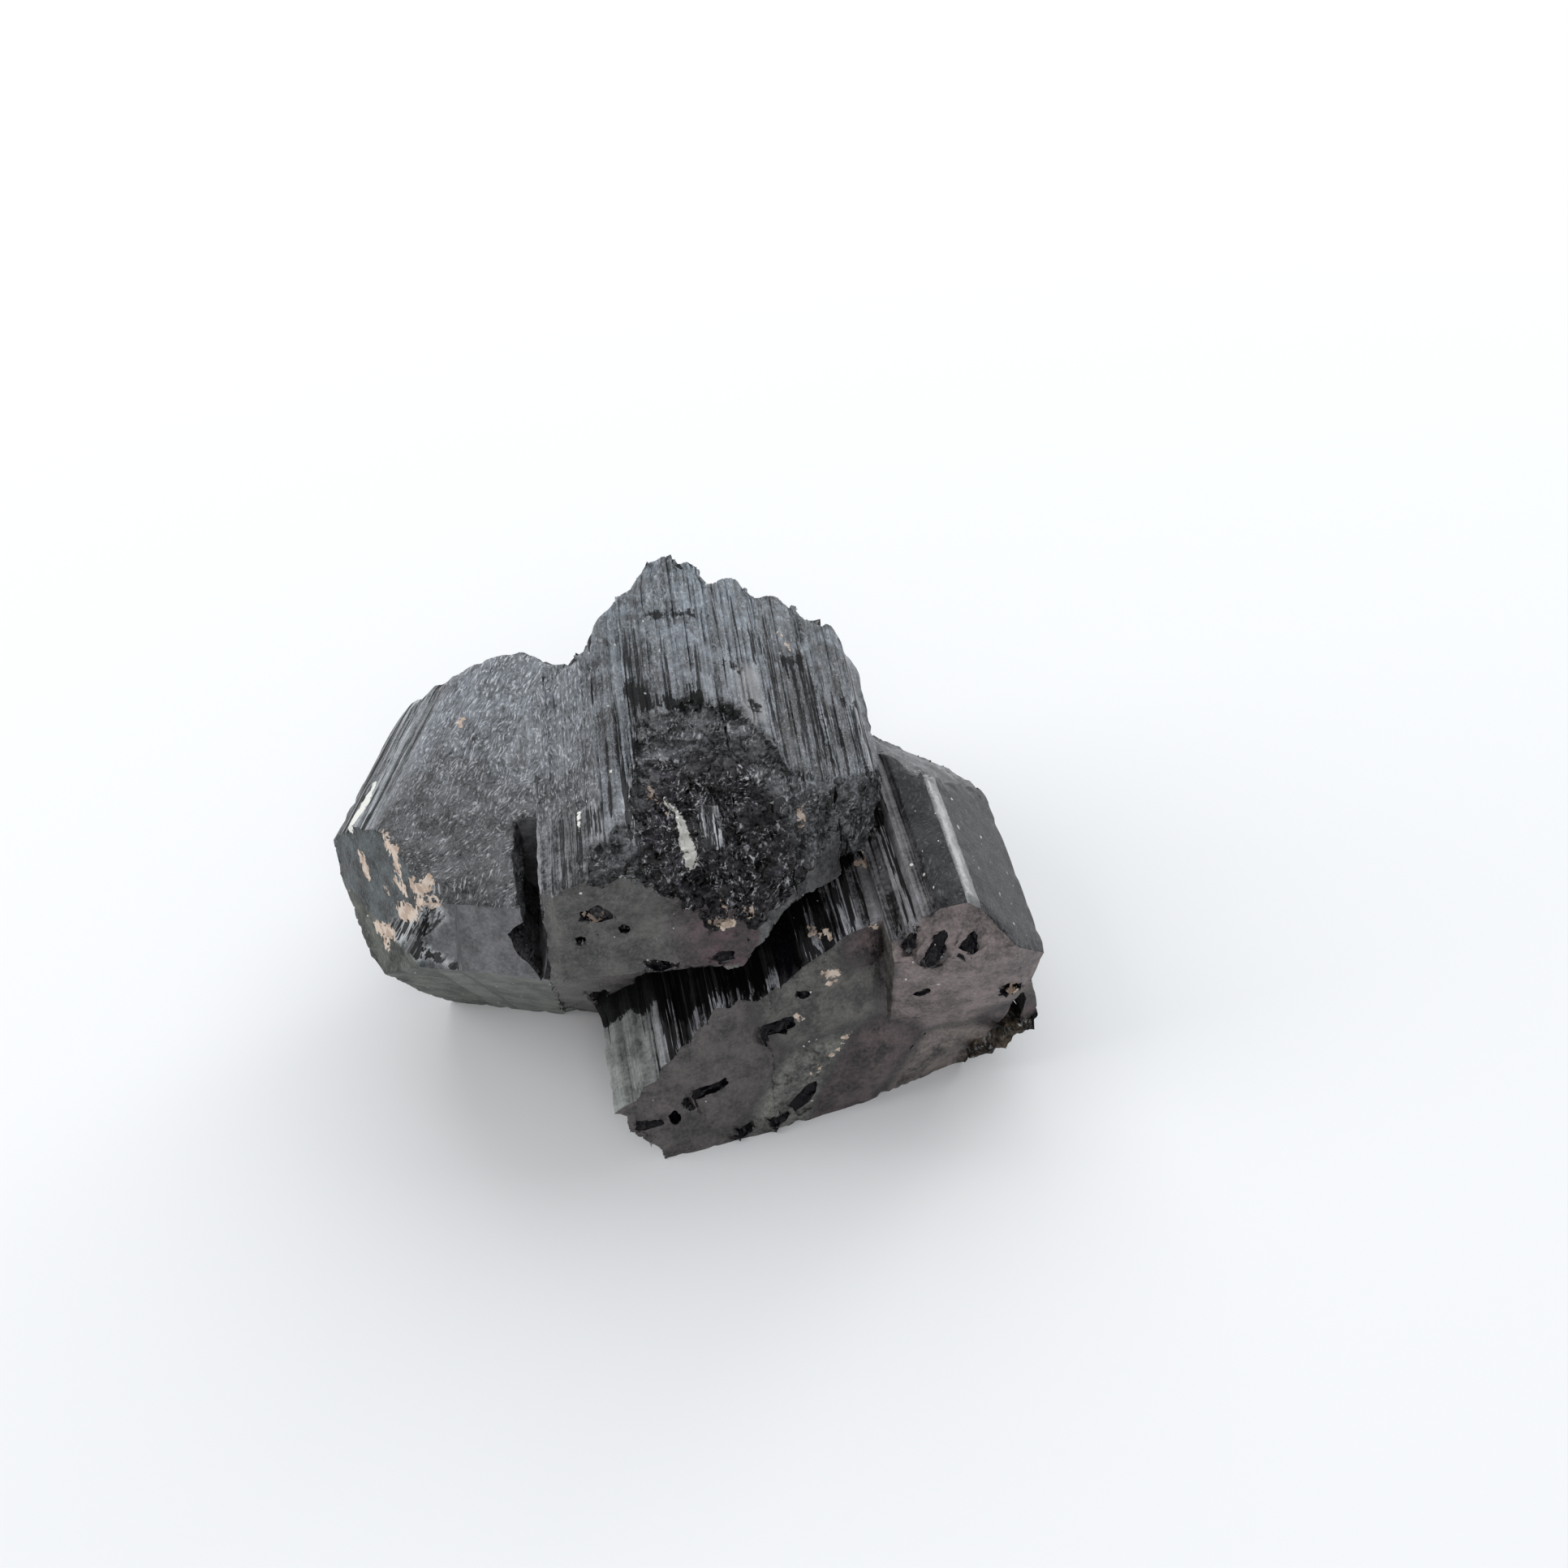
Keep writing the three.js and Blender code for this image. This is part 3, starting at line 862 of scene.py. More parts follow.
class Finish(Look, Enum):
    """The named looks of the stone, each written as a look's fields in their order."""

    FROST_BACK = ((0.122, 0.134, 0.152), 0.42, 1.0, 0.5, 0, 0, 0.2)
    FROST_FRONT = ((0.062, 0.063, 0.066), 0.4, 0.6, 0.9, 0, 0, 0.8)
    SCARRED = ((0.05, 0.05, 0.052), 0.38, 0.2, 1.0, 0, 0, 1.0, 0.15)
    FINE_BARS = ((0.17, 0.18, 0.19), 0.3, 0.3, 0.3, 0, 0.9, 0.1)
    COLUMN_BACK = ((0.1, 0.117, 0.134), 0.36, 0.5, 0.8, 0.14, 0.42, 0.2)
    COLUMN_FRONT = ((0.084, 0.091, 0.102), 0.32, 0.3, 1.0, 0.14, 0.8, 0.3, 0.1)
    PLAIN_COLUMN = ((0.16, 0.16, 0.165), 0.35, 0.15, 0.2, 0, 0.1, 0.1)
    SATIN_LEFT = ((0.11, 0.11, 0.115), 0.42, 0, 0.5, 0.05, 0, 0.1)
    TEAL_GLOSS = ((0.04, 0.05, 0.052), 0.2, 0, 1.0, 0, 0, 0.2)
    BLOCKS = ((0.24, 0.245, 0.25), 0.18, 0, 0.2, 0, 1.0)
    SATIN_MAIN = ((0.064, 0.063, 0.057), 0.4, 0, 0.7, 0.08, 0, 0.15)
    SATIN_BROWN = ((0.06, 0.036, 0.04), 0.38, 0, 0.8, 0.02, 0, 0.1)
    GREY_FACET = ((0.085, 0.085, 0.086), 0.35, 0, 0.6, 0, 0, 0.05)
    FIRST_END = ((0.068, 0.058, 0.056), 0.4, 0, 0.7, 0.03, 0, 0.1)
    SECOND_END = ((0.075, 0.071, 0.064), 0.4, 0, 0.8, 0.05, 0, 0.1)
    GREEN_END = ((0.105, 0.106, 0.092), 0.44, 0, 1.0, 0.15, 0, 0.15)
    BROWN_END = ((0.06, 0.043, 0.043), 0.42, 0, 1.0, 0, 0, 0.05)
    LOW_END = ((0.11, 0.092, 0.083), 0.5, 0, 1.0, 0, 0, 0.05)
    MATT_END = ((0.155, 0.125, 0.12), 0.55, 0, 0.6, 0.05, 0, 0.2)
    PLAIN_SIDE = ((0.225, 0.236, 0.225), 0.42, 0.1, 0.4, 0, 0.25)
    BARS = ((0.19, 0.19, 0.2), 0.3, 0, 0.5, 0, 1.0)
    DARK_GLOSS = ((0.034, 0.034, 0.035), 0.3, 0, 0.6, 0.35, 0, 0.2)
    DARK_COLUMN = ((0.13, 0.125, 0.13), 0.35, 0, 0.5, 0.05, 0.6)
    # A painted highlight: the narrow face along the right crystal's top is painted light grey,
    # besides its real shine.
    RIDGE_HIGHLIGHT = ((0.2, 0.2, 0.2), 0.22, 0, 0.1, 0, 0.1)
    GLASS = ((0.004, 0.003, 0.005), 0.16, 0, 0.3, 0.1, 0, 0, 0.15)
    RUBBLE = ((0.03, 0.027, 0.031), 0.3, 0, 1.0, 0, 0, 0, 1.0)
    RUBBLE_BACK = ((0.09, 0.092, 0.095), 0.34, 0.1, 1.0, 0, 0, 0.2, 0.75)
    FRACTURE = ((0.032, 0.032, 0.035), 0.28, 0, 1.0, 0, 0, 0, 0.75)
    PARTING = ((0.05, 0.05, 0.053), 0.38, 0, 1.0, 0.05, 0, 0.5, 0.12)
    CRUMB = ((0.06, 0.045, 0.03), 0.5, 0, 1.0, 0.3, 0, 0.2, 0.6)
    RIM = ((0.09, 0.095, 0.083), 0.5, 0, 0.7, 0.2, 0, 0.2)


@dataclass(frozen=True)
class Streak:
    """A stroke on a crystal, from one place (u, w, s) to another, of a radius in millimetres."""

    crystal: Crystal
    start: tuple[float, float, float]
    end: tuple[float, float, float]
    radius: float

    def distance(self, local: Vector, flat: Vector) -> float:
        """How far outside the stroke a place of the crystal lies, negative inside.

        Args:
            local: the place (u, w, s).
            flat: how much each direction counts.

        Returns:
            A distance in millimetres.
        """
        a, b = Vector(self.start), Vector(self.end)
        line = b - a
        t = min(1.0, max(0.0, (local - a).dot(line) / max(line.length_squared, 1e-9)))
        return ((local - a - line * t) * flat).length - self.radius


def strokes(crystal: Crystal, rows: Iterable[tuple]) -> tuple[Streak, ...]:
    """The strokes on a crystal, from rows of a start, an end and a radius."""
    return tuple(Streak(crystal, *row) for row in rows)


# Thin remains of the pale rock that the crystals grew in.
PALE = strokes(Crystal.LEFT, (
    ((-26.9, 28.8, 8.4), (-26.2, 27.4, 9.5), 0.45),
    ((-25.4, 27.7, 9.8), (-24.9, 26.5, 10.9), 0.6),
    ((-30.4, 22.9, 7.2), (-29.9, 21.6, 8.0), 0.55),
    ((-25.6, 24.8, 11.0), (-24.0, 25.1, 12.2), 0.45),
    ((-22.9, 26.6, 12.7), (-22.1, 27.0, 13.1), 0.45),
    ((-27.1, 22.8, 10.3), (-26.4, 22.8, 10.7), 0.25),
    ((-21.2, 27.7, 12.6), (-21.1, 27.1, 13.0), 0.5),
    ((-24.6, 22.2, 12.4), (-23.1, 23.6, 13.3), 0.75),
    ((-23.6, 23.8, 12.8), (-22.4, 24.2, 13.5), 0.4),
    ((-22.3, 25.2, 13.3), (-21.5, 26.2, 13.8), 0.35),
    ((-28.6, 17.0, 10.8), (-26.4, 18.6, 11.9), 0.6),
    ((-27.3, 16.2, 11.9), (-27.1, 17.0, 11.9), 0.35),
    ((-20.6, 25.9, 14.0), (-20.1, 26.4, 14.1), 0.3),
    ((-24.2, 30.0, -5.9), (-24.0, 30.0, -5.4), 0.35),
)) + strokes(Crystal.MAIN, (
    ((11.1, 32.2, -20.2), (11.6, 32.0, -18.0), 0.3),
    ((-3.6, 32.2, 0.4), (-2.0, 31.9, 1.6), 0.3),
    ((-1.9, 31.7, 1.9), (-0.9, 30.9, 3.6), 0.45),
    ((10.1, 29.5, 2.6), (10.3, 29.0, 4.2), 0.25),
    ((1.2, 25.4, 10.4), (2.6, 25.0, 10.8), 0.45),
    ((1.9, 25.6, 10.2), (1.8, 24.6, 10.9), 0.4),
    ((-10.6, 27.5, 10.2), (-9.0, 26.8, 10.3), 0.2),
    ((4.2, 25.8, 10.1), (4.6, 25.5, 10.3), 0.3),
)) + strokes(Crystal.LOWER, (
    ((9.9, 18.6, 7.6), (10.2, 18.7, 9.2), 0.3),
    ((11.2, 18.9, 8.8), (11.4, 18.9, 9.8), 0.25),
    ((15.4, 20.4, 10.6), (15.7, 20.2, 10.7), 0.4),
    ((15.9, 20.8, 2.4), (16.6, 21.0, 3.0), 0.4),
    ((10.6, 16.9, 12.2), (11.4, 16.2, 12.5), 0.3),
    ((11.0, 15.6, 12.7), (11.9, 16.6, 12.3), 0.26),
    ((7.6, 12.9, 13.8), (8.0, 12.6, 14.0), 0.24),
    ((12.1, 8.7, 14.6), (13.1, 9.4, 14.5), 0.24),
    ((10.9, 7.7, 15.1), (11.6, 8.0, 15.0), 0.2),
    ((8.8, 6.2, 15.8), (9.5, 6.5, 15.7), 0.24),
    ((28.5, 13.6, 14.2), (28.4, 12.9, 14.3), 0.4),
))
# The palest of them.
WHITE = strokes(Crystal.LEFT, (
    ((-31.9, 25.1, -0.6), (-31.8, 25.2, 2.0), 0.35),
    ((-31.8, 25.2, 2.0), (-32.2, 24.6, 4.6), 0.6),
    ((-32.2, 24.6, 4.6), (-32.8, 23.2, 6.4), 0.25),
)) + strokes(Crystal.MAIN, (
    ((-2.2, 31.2, 1.0), (-1.0, 30.7, 2.6), 0.22),
    ((-1.0, 30.7, 2.6), (-0.7, 29.7, 4.2), 0.45),
    ((-0.7, 29.7, 4.2), (-0.4, 29.5, 6.6), 0.62),
    ((-10.0, 31.2, 1.4), (-10.0, 31.2, 3.6), 0.28),
    ((-9.9, 31.2, 5.6), (-9.7, 31.2, 8.6), 0.12),
))

# Where blocks of the left crystal's end have fallen out and show barred walls.
BARRED = strokes(Crystal.LEFT, (
    ((-25.6, 19.2, 12.3), (-23.2, 22.4, 13.6), 1.2),
    ((-22.5, 22.4, 14.0), (-20.2, 25.2, 14.3), 1.1),
    ((-23.6, 18.8, 14.3), (-21.8, 20.8, 14.8), 1.0),
    ((-21.9, 20.8, 15.0), (-18.8, 19.6, 15.4), 0.6),
))
# The glossy face at the left of that end: across it and down it, with its bars.
GLOSSY_FRAME = Matrix(((0.66, -0.37, 0.66), (-0.64, 0.22, 0.74), (0.39, 0.92, 0.13)))

# Painted shade: dark patches painted where the main crystal's columns have crumbled into hollows,
# and on the lower crystals the painted shadow under the main crystal's overhang.
SHADE_STREAKS = strokes(Crystal.MAIN, (
    ((-1.6, 34.7, -21.6), (-0.2, 34.7, -21.3), 0.55),
    ((0.6, 35.0, -21.2), (2.4, 35.1, -20.9), 0.5),
    ((5.5, 34.0, -14.0), (6.2, 34.0, -13.2), 0.45),
    ((10.8, 32.2, -15.6), (12.4, 32.0, -16.4), 0.5),
    ((11.6, 32.0, -15.8), (11.4, 32.2, -9.0), 0.28),
    ((-4.6, 33.9, -11.8), (-3.8, 34.0, -10.6), 0.8),
    ((-3.4, 34.1, -9.4), (0.2, 34.7, -8.4), 0.7),
    ((1.6, 34.2, -8.6), (5.2, 33.8, -7.2), 0.55),
    ((7.0, 33.7, -8.8), (7.4, 33.7, -7.8), 0.4),
    ((-5.0, 33.2, -6.0), (-4.8, 33.0, -1.0), 0.35),
    ((13.8, 31.4, -9.0), (13.4, 31.5, -2.0), 0.25),
    ((16.2, 29.9, -12.0), (15.6, 30.2, -5.0), 0.22),
# the painted shadow that the main crystal's overhang casts on the lower crystals' tops
)) + strokes(Crystal.LOWER, (
    ((-11.0, 7.0, 1.0), (-1.5, 14.5, 9.0), 2.6),
    ((-1.5, 14.5, 9.6), (5.0, 16.3, 8.8), 3.0),
    ((5.0, 16.4, 8.8), (9.0, 18.0, 3.0), 2.6),
    ((9.0, 18.0, 3.0), (16.5, 21.0, -1.5), 2.6),
    ((-9.5, 7.5, 4.0), (-10.5, 6.0, -10.0), 3.0),
))
# A strip of column that kept its smooth face.
SMOOTH = Streak(Crystal.MAIN, (6.9, 33.7, -13.2), (7.1, 33.7, -6.6), 0.9)


# The attributes that the material reads: each one's name, its kind and its values' slot.
ATTRIBUTES = (
    ("grain", "FLOAT_VECTOR", "vector"),  # the place that the patterns are laid out by
    ("tone", "FLOAT_COLOR", "color"),
    ("touch", "FLOAT_VECTOR", "vector"),  # roughness, hairs and mottle
    ("marks", "FLOAT_VECTOR", "vector"),  # pale flecks with painted glints, stripes and curls
    ("scraps", "FLOAT_VECTOR", "vector"),  # shards, and how far off pale and white rock are
    ("hollow", "FLOAT", "value"),  # how far off painted shade is: crumbled hollows and the overhang's shadow
)


@dataclass(frozen=True)
class Dresser:
    """Gives every corner of the mesh its place on its crystal and its look."""

    pale_reach: float = 3.0  # the furthest that the distance to a pale spot is told
    slit: float = -20.0  # right of this u the left crystal's side lies in the slit
    left_rim: float = 19.3  # below this w its end is a chipped rim, lower away from the middle
    left_middle: float = -15.0  # the u of that middle
    main_rim: float = 20.2  # below this w the main crystal's end is a chipped rim
    under: float = 22.0  # below this w its prism faces are the barred underside
    bared: tuple[float, float] = (-6.0, 9.0)  # between these u its top is barred in front as well
    facet: float = 5.0  # right of this u its end is a grey facet
    # the spans of u or s over which one look turns into another
    left_frost: tuple[float, float] = (-10, 6)
    left_scars: tuple[float, float] = (1, 9)
    main_brown: tuple[float, float] = (-5, 1)
    main_columns: tuple[float, float] = (-27, -7)
    main_frost: tuple[float, float] = (-14, 1)
    main_bars: tuple[float, float] = (0.5, 2.0)
    plain_side: tuple[float, float] = (-4.5, -7.5)
    dark_columns: tuple[float, float] = (12.5, 16.5)
    # and the spans of the distance to the band's shoulder, inwards and outwards
    into_band: tuple[float, float] = (1.5, 6.5)
    off_band: tuple[float, float] = (1.6, 0.2)
    crumbs: tuple[float, float, float] = (25.0, 7.5, -4.0)  # right, below and in front are crumbs

    def left_look(self, surface: Surface, local: Vector) -> Look:
        """How the left crystal looks at a place.

        Args:
            surface: the kind of surface.
            local: the place (u, w, s).

        Returns:
            The look.
        """
        u, w, s = local
        frost = Finish.FROST_BACK.to(Finish.FROST_FRONT, blend(*self.left_frost, s))
        if surface in (Surface.TOP, Surface.WORN):
            scarred = frost.to(Finish.SCARRED, blend(*self.left_scars, s))
            return scarred.to(Finish.FINE_BARS, blend(STRIP_EDGE + 1, STRIP_EDGE - 1, u))
        if surface is Surface.SIDE:
            return Finish.GLASS if u > self.slit else Finish.FINE_BARS
        if w < self.left_rim - 0.1 * abs(u - self.left_middle):
            return Finish.RIM
        gloss = blend(GLOSSY_EDGE, GLOSSY_EDGE - 1.6, u)
        teal = Finish.SATIN_LEFT.to(Finish.TEAL_GLOSS, gloss)
        nearest = min(bar.distance(local, Vector((1, 1, 1))) for bar in BARRED)
        return teal.to(Finish.BLOCKS, blend(0.2, -0.1, nearest))

    def main_look(self, surface: Surface, local: Vector) -> Look:
        """How the main crystal looks at a place.

        Args:
            surface: the kind of surface.
            local: the place (u, w, s).

        Returns:
            The look.
        """
        u, w, s = local
        if surface is Surface.BAND:
            into = s - along(BAND_SHOULDER, u) + 1.5 * rugged(local, 3.0, 2)
            return Finish.RUBBLE_BACK.to(Finish.RUBBLE, blend(*self.into_band, into))
        if surface is Surface.END:
            if w < self.main_rim:
                return Finish.RIM
            if u > self.facet:
                return Finish.GREY_FACET
            return Finish.SATIN_MAIN.to(Finish.SATIN_BROWN, blend(*self.main_brown, u))
        if w < self.under or (s > 0 and self.bared[0] < u < self.bared[1]):
            return Finish.BARS
        column = Finish.COLUMN_BACK.to(Finish.COLUMN_FRONT, blend(*self.main_columns, s))
        if surface is Surface.SIDE:
            return column.to(Finish.BARS, 0.6)
        barred = Finish.FROST_BACK.to(Finish.FINE_BARS, 0.3)
        frost = barred.to(Finish.FROST_FRONT, blend(*self.main_frost, s))
        front = frost.to(Finish.BARS, blend(*self.main_bars, s) * 0.8)
        look = front.to(column, blend(FUR_EDGE, FUR_EDGE + 1.2, u))
        if w > BAND_LEAST and u > BAND_SIDES[0]:
            left = along(BAND_SHOULDER, u) - s + 1.6 * rugged(local, 2.0, 2)
            look = look.to(Finish.RUBBLE_BACK, blend(*self.off_band, left))
        smooth = SMOOTH.distance(local, Vector((1, 0.3, 1)))
        return look.to(Finish.PLAIN_COLUMN, blend(0.2, -0.2, smooth))

    def lower_look(self, surface: Surface, local: Vector) -> Look:
        """How the lower crystals look at a place.

        Args:
            surface: the kind of surface.
            local: the place (u, w, s).

        Returns:
            The look.
        """
        u, w, s = local
        if surface in (Surface.TOP, Surface.SIDE):
            # The narrow face along the top gets a painted highlight.
            if RIDGE_SIDES[0] < u < RIDGE_SIDES[1] and w > RIDGE_LEAST:
                return Finish.RIDGE_HIGHLIGHT
            if u > SMOOTH_EDGE:
                return Finish.DARK_GLOSS
            if surface is Surface.SIDE and u > STEP_EDGE[0] and w < STEP_EDGE[1]:
                return Finish.SECOND_END
            bars = Finish.BARS.to(Finish.PLAIN_SIDE, blend(*self.plain_side, u))
            return bars.to(Finish.DARK_COLUMN, blend(*self.dark_columns, u))
        # Painted shade: towards the creases where two lobes meet, the colour darkens to black glass.
        second, best = sorted(LOBES, key=lambda lobe: lobe.height(u, w))[-2:]
        apart = best.height(u, w) - second.height(u, w)
        return Finish[best.finish].to(Finish.GLASS, 0.6 * blend(0.4, 0, apart))

    def look(self, crystal: Crystal, surface: Surface, local: Vector) -> Look:
        """How a crystal looks at a place.

        Args:
            crystal: the crystal.
            surface: the kind of surface.
            local: the place (u, w, s).

        Returns:
            The look.
        """
        if surface is Surface.HOLLOW:
            u, w, s = self.crumbs
            base = crystal is Crystal.LOWER and local.x > u and local.y < w and local.z > s
            return Finish.CRUMB if base else Finish.GLASS
        if surface is Surface.BREAK:
            smooth = blend(-0.12, 0.2, rugged(local, 5.0, 3, 2))
            return Finish.FRACTURE.to(Finish.PARTING, smooth)
        looks = {
            Crystal.LEFT: self.left_look, Crystal.MAIN: self.main_look,
            Crystal.LOWER: self.lower_look,
        }
        return looks[crystal](surface, local)

    def nearest(
        self, streaks: tuple[Streak, ...], crystal: Crystal, surface: Surface, local: Vector,
    ) -> float:
        """How far a place is from the nearest of some streaks.

        The direction into the stone counts less, so that a streak stays whole where it is worn.

        Args:
            streaks: the streaks.
            crystal: the crystal that the place is on.
            surface: the kind of surface.
            local: the place (u, w, s).

        Returns:
            A distance in millimetres, negative inside a streak.
        """
        flat = Vector((1, 1, 0.4) if surface is Surface.END else (1, 0.35, 1))
        near = (item.distance(local, flat) for item in streaks if item.crystal is crystal)
        return min((self.pale_reach, *near))

    def grain(self, crystal: Crystal, surface: Surface, local: Vector) -> Vector:
        """The place that the stone's patterns are laid out by, their length along its z."""
        if crystal is Crystal.LEFT and surface is Surface.END and local.x < GLOSSY_EDGE + 2.4:
            return GLOSSY_FRAME @ local
        return local

    def values(self, crystal: Crystal, surface: Surface, place: Vector) -> tuple[tuple, ...]:
        """Works out what the attributes hold at a place.

        Args:
            crystal: the crystal.
            surface: the kind of surface.
            place: the place, in the part's frame.

        Returns:
            Each attribute's numbers, in the attributes' order.
        """
        local = crystal.frame @ place
        look = self.look(crystal, surface, local)
        traits = look.traits
        # The painted shade of hollows and of the overhang's shadow is kept off the crystals' ends.
        dark = () if surface is Surface.END else SHADE_STREAKS
        pale, white, hollow = (
            self.nearest(streaks, crystal, surface, local) for streaks in (PALE, WHITE, dark)
        )
        return (
            tuple(self.grain(crystal, surface, local)), (*look.tone, 1.0), traits[:3], traits[3:6],
            (traits[6], pale, white), (hollow,),
        )

    def apply(self, mesh: bpy.types.Mesh) -> None:
        """Writes the attributes to a labelled mesh.

        Args:
            mesh: the piece's mesh, in metres.
        """
        known: dict[tuple[int, int, int], tuple] = {}
        columns: list[list[float]] = [[] for _ in ATTRIBUTES]
        for polygon, (crystal, surface) in zip(mesh.polygons, labels_of(mesh)):
            for index in polygon.vertices:
                key = (index, crystal, surface)
                if key not in known:
                    known[key] = self.values(crystal, surface, mesh.vertices[index].co / MM)
                for column, value in zip(columns, known[key]):
                    column.extend(value)
        for (name, kind, slot), column in zip(ATTRIBUTES, columns):
            mesh.attributes.new(name, kind, "CORNER").data.foreach_set(slot, column)


# ---- The stone's material ----


@dataclass(frozen=True)
class Output:
    """What a node gives out, which other nodes can take in."""

    graph: "Graph"
    socket: bpy.types.NodeSocket


class Number(Output):
    """A number that a node gives out, which adds up and multiplies as in a formula."""

    def math(self, operation: str, *values: "Number | float") -> "Number":
        """What a sum, a product or the like of some values comes to."""
        return self.graph.number("Math", dict(enumerate(values)), operation=operation)

    def __add__(self, other: "Number | float") -> "Number":
        """The sum of both."""
        return self.math("ADD", self, other)

    def __sub__(self, other: "Number | float") -> "Number":
        """This one less the other."""
        return self.math("SUBTRACT", self, other)

    def __rsub__(self, other: float) -> "Number":
        """A plain number less this one."""
        return self.math("SUBTRACT", other, self)

    def __mul__(self, other: "Number | float") -> "Number":
        """The product of both."""
        return self.math("MULTIPLY", self, other)

    __radd__ = __add__
    __rmul__ = __mul__

    def most(self, other: "Number | float") -> "Number":
        """The larger of both."""
        return self.math("MAXIMUM", self, other)

    def ramp(self, low: float, high: float) -> "Number":
        """A smooth step from 0 where it is low to 1 where it is high."""
        inputs = {"Value": self, "From Min": low, "From Max": high}
        return self.graph.number("MapRange", inputs, interpolation_type="SMOOTHSTEP")


class Triple(Output):
    """A vector or a colour that a node gives out."""

    def math(self, operation: str, other: "Triple | tuple") -> "Triple":
        """What this and another come to, part by part."""
        return self.graph.triple("VectorMath", {0: self, 1: other}, operation=operation)

    def __add__(self, other: "Triple | tuple") -> "Triple":
        """The sum of both."""
        return self.math("ADD", other)

    def __sub__(self, other: "Triple | tuple") -> "Triple":
        """This one less the other."""
        return self.math("SUBTRACT", other)

    def __mul__(self, by: Number | float | tuple) -> "Triple":
        """Each part times a number, or times its own one of three."""
        if isinstance(by, tuple):
            return self.math("MULTIPLY", by)
        return self.graph.triple("VectorMath", {0: self, "Scale": by}, operation="SCALE")

    def dot(self, other: "Triple | tuple") -> Number:
        """The scalar product of both."""
        inputs = {0: self, 1: other}
        return self.graph.number("VectorMath", inputs, "Value", operation="DOT_PRODUCT")

    def parts(self) -> tuple[Number, ...]:
        """Its three numbers."""
        outputs = self.graph.node("SeparateXYZ", {0: self}).outputs
        return tuple(Number(self.graph, socket) for socket in outputs)

    def noise(self, scale: float | tuple, detail: float = 2.0, rough: float = 0.5) -> Number:
        """Smooth noise over it in 0..1 around a half.

        Args:
            scale: how many forms there are in a millimetre, along each axis or along all three.
            detail: how many finer layers of noise it holds.
            rough: how strong these are.

        Returns:
            The noise.
        """
        place, scale = (self * scale, 1.0) if isinstance(scale, tuple) else (self, scale)
        inputs = {"Vector": place, "Scale": scale, "Detail": detail, "Roughness": rough}
        return self.graph.number("TexNoise", inputs, "Fac")

    def bent(self, scale: float, reach: float, start: "Triple | None" = None) -> "Triple":
        """A start, or this itself, moved by smooth noise over this of a scale and a reach."""
        inputs = {"Vector": self, "Scale": scale, "Detail": 1.0}
        return (start or self) + self.graph.triple("TexNoise", inputs, "Color") * ((reach,) * 3)

    def cells(self, scale: float) -> tuple[Number, "Triple", "Triple"]:
        """Irregular cells: how far each one's middle is, its random numbers and its middle."""
        outputs = self.graph.node("TexVoronoi", {"Vector": self, "Scale": scale}).outputs
        distance = Number(self.graph, outputs["Distance"])
        return distance, *(Triple(self.graph, outputs[name]) for name in ("Color", "Position"))


class Graph:
    """The nodes of a material."""

    def __init__(self, material: bpy.types.Material) -> None:
        """Starts with no nodes in a material's tree."""
        material.use_nodes = True
        self.tree = material.node_tree
        self.tree.nodes.clear()

    def node(self, kind: str, inputs: dict, **settings) -> bpy.types.Node:
        """Adds a node.

        Args:
            kind: its type without the leading "ShaderNode".
            inputs: values or other nodes' outputs for its inputs, by name or number.
            **settings: its properties.

        Returns:
            The node.
        """
        node = self.tree.nodes.new("ShaderNode" + kind)
        for name, value in settings.items():
            setattr(node, name, value)
        for name, value in inputs.items():
            socket = node.inputs[name]
            if not socket.enabled:
                socket = next(s for s in node.inputs if s.name == name and s.enabled)
            if isinstance(value, Output):
                self.tree.links.new(value.socket, socket)
            else:
                socket.default_value = value
        return node

    def number(self, kind: str, inputs: dict, output: int | str = 0, **settings) -> Number:
        """The number that a new node gives out."""
        return Number(self, self.node(kind, inputs, **settings).outputs[output])

    def triple(self, kind: str, inputs: dict, output: int | str = 0, **settings) -> Triple:
        """The vector or colour that a new node gives out."""
        return Triple(self, self.node(kind, inputs, **settings).outputs[output])

    def attribute(self, name: str, output: str = "Vector") -> Triple:
        """The vector or colour that the mesh holds under a name."""
        return self.triple("Attribute", {}, output, attribute_name=name)

    def mix(self, share: Number, a: Triple | tuple, b: Triple | tuple) -> Triple:
        """A colour a share of the way from a to b."""
        return self.triple("Mix", {"Factor": share, "A": a, "B": b}, 2, data_type="RGBA")


@dataclass(frozen=True)
class Relief:
    """How high each pattern stands, in millimetres."""

    hairs: float = 0.05
    grit: float = 0.03
    curls: float = 0.035
    bars: float = 0.045
    facets: float = 0.28


